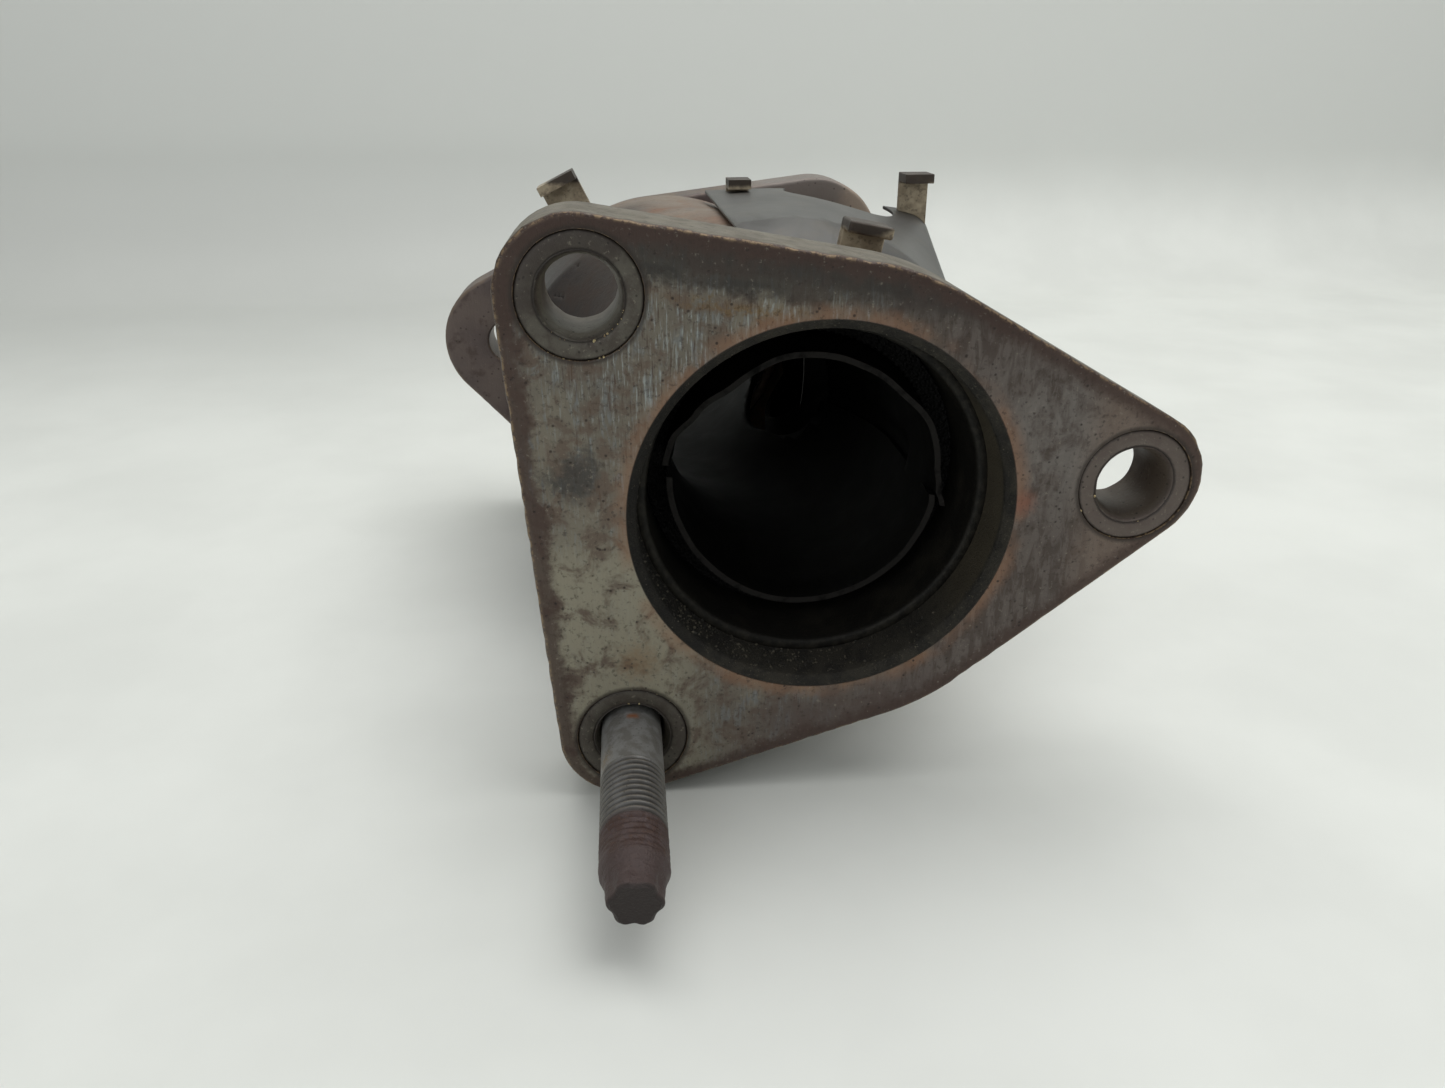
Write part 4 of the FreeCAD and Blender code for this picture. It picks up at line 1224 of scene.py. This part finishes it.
def liner_paint():
    """The gas liner: olive-black soot over sheet, its front edge rubbed grey."""
    p = Paint("liner_soot", 0.0, 0.08)
    middle = p.noise(5.0, 4.0)
    p.colour = p.mix(p.step(middle, 0.4, 0.65), (6, 6, 5), (10, 10, 8))
    rubbed = p.times(p.step(p.y, 17.4, 17.0), p.step(p.noise(2.5), 0.25, 0.5))
    p.coat((48, 46, 44), 0.6, rubbed)
    back = p.step(p.y, 126.0, 129.0)
    p.coat((66, 58, 50), 0.6, back)
    p.bump(p.noise(0.5, 2.0, 0.7), 0.05)
    return p.done(p.spread(middle, 0.55, 0.78))


def shell_paint():
    """The pressed shells: heat-tinted sheet, tan on top (partly a painted highlight), mauve-brown down
    its sides, with painted shade at the front left.
    """
    p = Paint("shell_heat_tint", 0.4)
    broad = p.noise(24.0, 3.0, 0.6, distortion=0.8)
    middle = p.noise(6.0, 4.0, 0.6)
    fine = p.noise(0.9, 3.0, 0.7)
    p.colour = p.mix(p.step(broad, 0.36, 0.62), (126, 112, 98), (112, 94, 80))
    p.coat((128, 90, 66), 0.7, p.step(broad, 0.54, 0.68))
    # Tan is left only on top, partly the sheet's tint and partly a painted highlight; lower down it
    # turns mauve-brown.
    height = p.plus(p.z, p.times(broad, 26.0), p.times(middle, 8.0))
    mauve = p.mix(p.step(middle, 0.4, 0.62), (70, 58, 54), (86, 72, 66))
    p.coat(mauve, 0.92, p.step(height, 46.0, 30.0))
    underside = p.step(height, 8.0, -10.0)
    p.coat((104, 84, 66), 0.6, underside)
    p.coat((118, 78, 52), 0.5, p.step(middle, 0.52, 0.7))
    p.coat((74, 66, 70), 0.4, p.step(middle, 0.44, 0.3))
    # Painted shade: the shell's front left, behind the front flange, is darkened.
    front_left_painted_shade = p.times(p.step(p.plus(p.x, p.times(broad, 8.0)), -16.0, -26.0),
                         p.step(p.y, 106.0, 92.0))
    p.coat((42, 39, 38), 0.85, front_left_painted_shade)
    p.coat((48, 38, 32), 0.7, p.step(p.cells(2.0), 0.17, 0.07))
    p.coat((66, 52, 42), 0.4, p.step(fine, 0.55, 0.68))
    p.bump(middle, 0.12)
    p.bump(fine, 0.06)
    return p.done(p.spread(middle, 0.36, 0.6))


def rear_paint():
    """The rear and branch flanges: mauve-brown scale, tan at the edges (partly rub, partly painted
    highlight), with painted light on the rear nose.
    """
    p = Paint("rear_scale", 0.3)
    margin = p.attribute("margin")
    broad = p.noise(14.0, 3.0)
    middle = p.noise(3.6, 4.0, 0.6)
    fine = p.noise(0.8, 3.0, 0.7)
    p.colour = p.mix(p.step(broad, 0.36, 0.64), (84, 73, 70), (98, 86, 80))
    p.coat((70, 56, 51), 0.7, p.step(middle, 0.5, 0.66))
    # The edges are lighter: partly rub, partly a painted highlight on their lit thickness.
    rubbed = p.times(p.step(margin, 0.9, 0.2), p.step(middle, 0.38, 0.6))
    p.coat((130, 114, 96), 0.5, rubbed)
    # Painted light: the rear flange's nose is lightened, and its right side gets a painted tan
    # highlight.
    nose = p.times(p.step(p.z, 20.0, 30.0), p.step(p.x, -2.0, 8.0))
    p.coat((124, 116, 110), 0.85, nose)
    nose_side_painted_highlight = p.times(nose, p.step(p.plus(p.x, p.times(middle, 6.0)), 26.0, 33.0))
    p.coat((158, 142, 126), 0.8, nose_side_painted_highlight)
    face = p.times(p.step(p.y, 140.4, 140.9), p.step(broad, 0.3, 0.6))
    p.coat((114, 107, 97), 0.6, face)
    p.coat((46, 36, 31), 0.7, p.step(p.cells(1.8), 0.19, 0.08))
    p.coat((124, 112, 100), 0.35, p.step(fine, 0.4, 0.3))
    p.bump(p.noise(0.7, 3.0, 0.6, stretch=(1, 1, 8)), 0.05)
    p.bump(fine, 0.09)
    return p.done(p.spread(middle, 0.4, 0.62))


def weld_paint():
    """Weld metal: dark straw and blue heat bands over dull grey."""
    p = Paint("weld_heat", 0.45)
    middle = p.noise(2.4, 3.0)
    p.colour = p.mix(p.step(middle, 0.38, 0.64), (98, 88, 76), (74, 64, 55))
    p.coat((80, 80, 92), 0.6, p.step(p.noise(5.0), 0.5, 0.66))
    p.coat((42, 34, 29), 0.7, p.step(p.cells(1.4), 0.2, 0.08))
    p.bump(p.noise(0.4, 2.0, 0.7), 0.04)
    return p.done(p.spread(middle, 0.34, 0.56))


def mesh_paint():
    """Knitted wire, black with soot between its loops."""
    p = Paint("knitted_wire", 0.2, 0.2)
    loops = p.cells(0.55, stretch=(1, 1.6, 1))
    p.colour = p.mix(p.step(loops, 0.25, 0.6), (14, 13, 12), (7, 7, 6))
    p.bump(loops, -0.3)
    return p.done(p.spread(p.noise(2.0), 0.45, 0.7))


def stud_paint():
    """The stud: grey shank and thread with a painted tan highlight on its crests, then a rusty brown
    end.
    """
    p = Paint("stud_rust", 0.35)
    middle = p.noise(2.0, 4.0)
    fine = p.noise(0.45, 3.0, 0.7)
    away = p.from_axis(STUD_X, STUD_Z)
    p.colour = p.mix(p.step(middle, 0.4, 0.62), (142, 142, 140), (120, 118, 114))
    p.coat((84, 80, 76), 0.4, p.step(fine, 0.56, 0.7))
    threaded = p.step(p.y, THREAD_START + 0.2, THREAD_START - 0.6)
    roots = p.times(threaded, p.step(away, 4.94, 4.66))
    p.coat((38, 35, 32), 0.85, roots)
    flanks = p.times(threaded, p.step(away, 4.6, 4.85))
    p.coat((66, 63, 59), 0.6, flanks)
    # Painted highlight: the thread's crests turn tan in patches.
    crests_painted_highlight = p.times(threaded, p.step(away, 4.92, 4.99), p.step(fine, 0.34, 0.56))
    p.coat((106, 98, 84), 0.7, crests_painted_highlight)
    spot = p.times(p.step(p.plus(p.from_axis(-30.2, -33.2), p.times(fine, 1.0)), 1.9, 1.0),
                   p.band(p.y, -0.9, 1.1))
    p.coat((150, 92, 50), 0.85, spot)
    stain = p.times(p.band(p.x, -34.6, 1.6), p.band(p.y, -9.5, 3.0), p.step(fine, 0.4, 0.6))
    p.coat((138, 112, 70), 0.6, stain)
    rusty = p.step(p.plus(p.y, p.times(middle, 2.2)), -22.6, -24.4)
    rust = p.mix(p.step(middle, 0.4, 0.62), (66, 47, 42), (78, 64, 63))
    rust = p.mix(p.times(p.step(fine, 0.5, 0.66), 0.5), rust, (82, 56, 40))
    p.coat(rust, 0.94, rusty)
    smooth_end = p.step(p.y, -31.6, -33.2)
    p.coat((74, 62, 60), 0.75, smooth_end)
    p.coat((44, 38, 36), 0.9, p.step(p.y, -38.0, -38.5))
    pits = p.step(p.cells(0.9), 0.18, 0.08)
    p.coat((42, 34, 31), 0.5, pits)
    p.bump(fine, 0.06)
    p.bump(p.times(rusty, p.noise(0.7, 3.0, 0.7)), 0.3)
    return p.done(p.plus(p.spread(middle, 0.34, 0.5), p.times(rusty, 0.15)))


def nut_paint():
    """The lock nut: brown scale with orange rust."""
    p = Paint("nut_forged", 0.4)
    middle = p.noise(2.0, 4.0)
    p.colour = p.mix(p.step(middle, 0.4, 0.62), (100, 90, 80), (76, 62, 52))
    p.coat((108, 72, 47), 0.6, p.step(p.noise(0.6), 0.52, 0.68))
    p.bump(p.noise(0.5, 3.0, 0.7), 0.08)
    return p.done(p.spread(middle, 0.36, 0.6))


def shield_paint():
    """The heat shield: smooth dull grey sheet with faint smears."""
    p = Paint("shield_dull_grey", 0.3)
    broad = p.noise(18.0, 3.0, 0.55, stretch=(1, 2, 1))
    fine = p.noise(0.7, 3.0, 0.7)
    p.colour = p.mix(p.step(broad, 0.36, 0.64), (82, 81, 78), (75, 74, 72))
    p.coat((92, 86, 78), 0.4, p.step(p.noise(5.0, 4.0), 0.52, 0.68))
    p.coat((66, 60, 54), 0.6, p.step(p.cells(4.0), 0.12, 0.05))
    p.coat((84, 80, 74), 0.25, p.step(fine, 0.56, 0.7))
    p.bump(p.noise(3.0, 3.0), 0.06)
    p.bump(fine, 0.03)
    return p.done(p.spread(broad, 0.38, 0.55))


def bracket_paint():
    """The brackets: olive-tan strip, with painted shade on their folded tops."""
    p = Paint("bracket_strip", 0.3)
    middle = p.noise(3.0, 4.0)
    p.colour = p.mix(p.step(middle, 0.38, 0.64), (168, 155, 132), (132, 119, 99))
    left = p.step(p.x, -20.0, -30.0)
    # Painted shade: the brackets' folded tops turn dark brown.
    folded_tops_painted_shade = p.plus(p.z, p.times(middle, 1.4), p.times(left, -1.0), p.times(p.band(p.x, 12.0, 9.0), 1.6))
    p.coat((50, 42, 38), 0.92, p.step(folded_tops_painted_shade, 39.2, 40.2))
    p.coat((70, 56, 44), 0.5, p.step(p.noise(0.8), 0.52, 0.68))
    p.bump(p.noise(0.6, 3.0, 0.7), 0.06)
    return p.done(p.spread(middle, 0.4, 0.62))


# ---- stage ----

def floor_paint():
    """A pale, faintly mottled floor with painted shade towards its far left, a little greyer up the
    backdrop.
    """
    p = Paint("pale_floor", 0.0)
    p.colour = p.mix(p.step(p.noise(60.0, 4.0), 0.3, 0.7), (226, 228, 223), (218, 220, 215))
    # Painted shade: the floor turns greyer towards its far left, near the backdrop.
    p.coat((188, 190, 186), 0.8, p.step(p.x, 260.0, -160.0), p.step(p.y, 120.0, 420.0))
    p.coat((214, 216, 212), 1.0, p.step(p.z, GROUND + 20.0, GROUND + 90.0))
    return p.done(0.55)


def stage():
    """A pale floor that sweeps up into a backdrop behind the object."""
    wide, front, back, bend, tall = 1500.0, -1200.0, 420.0, 70.0, 900.0
    floor = GROUND - 0.02
    profile = [(front, floor), (back, floor)]
    for k in range(1, 13):
        turn = math.pi / 2 * k / 12
        profile.append((back + bend * math.sin(turn), floor + bend * (1 - math.cos(turn))))
    profile.append((back + bend, floor + tall))
    points = []
    for y, z in profile:
        points += [(-wide, y, z), (wide, y, z)]
    faces = [(2 * k, 2 * k + 1, 2 * k + 3, 2 * k + 2) for k in range(len(profile) - 1)]
    sweep = add_mesh("floor_sweep", points, faces, sharp=30.0)
    sweep.data.materials.append(floor_paint())


def area_light(name, place, target, width, height, power, colour):
    light = bpy.data.lights.new(name, "AREA")
    light.shape = "RECTANGLE"
    light.size = width
    light.size_y = height
    light.energy = power
    light.color = colour
    obj = bpy.data.objects.new(name, light)
    obj.location = place
    obj.rotation_euler = (Vector(target) - Vector(place)).to_track_quat("-Z", "Y").to_euler()
    bpy.context.scene.collection.objects.link(obj)


def lights():
    area_light("overhead", (0.14, 0.2, 0.75), (0.03, 0.05, 0.0), 1.2, 0.7, 7.2, (1.0, 1.0, 0.99))
    area_light("front_fill", (-0.5, -0.8, 0.5), (0.0, 0.0, 0.0), 0.8, 0.6, 2.4, (0.96, 0.98, 1.0))
    world = bpy.data.worlds.new("soft_room")
    world.use_nodes = True
    background = world.node_tree.nodes["Background"]
    background.inputs["Color"].default_value = (0.93, 0.95, 0.95, 1.0)
    background.inputs["Strength"].default_value = 0.33
    bpy.context.scene.world = world


def camera():
    """Close in front, a little to the left and above, looking down along the bore."""
    data = bpy.data.cameras.new("camera")
    data.sensor_width = 36.0
    data.lens = 26.41
    data.clip_start = 0.01
    obj = bpy.data.objects.new("camera", data)
    obj.location = (-0.0289, -0.1474, 0.0616)
    ahead = Vector((0.0825, 0.9105, -0.4052))
    obj.rotation_euler = ahead.to_track_quat("-Z", "Y").to_euler()
    bpy.context.scene.collection.objects.link(obj)
    bpy.context.scene.camera = obj


# ---- the whole ----

camera()
lights()
stage()
bpy.context.scene.view_settings.view_transform = "Standard"

soot_material = soot_paint()
steel = rear_paint()
liner_material = liner_paint()
bracket_material = bracket_paint()
front_flange(face_paint())
bushes(bush_paint())
rear_flange(steel)
branch_flange(steel)
collars(collar_paint())
welds(weld_paint())
mesh_rings(mesh_paint())
outer_shells(shell_paint())
liners(liner_material)
branch = frame["nodes"]["branch_liner"]
branch.data.materials.clear()
branch.data.materials.append(liner_material)
stud(stud_paint())
softened("stud_lock_nut", "stud_nut", 0.35, nut_paint(), "nut_steel")
softened("branch_heat_shield", "heat_shield_sheet", 0.25, shield_paint(), "shield_sheet")
for where in ("left", "middle", "front", "rear"):
    softened(f"shield_bracket_{where}", f"bracket_{where}", 0.45, bracket_material, "bracket_steel")
soot_grains(soot_material)
ring_specks(speck_paint())
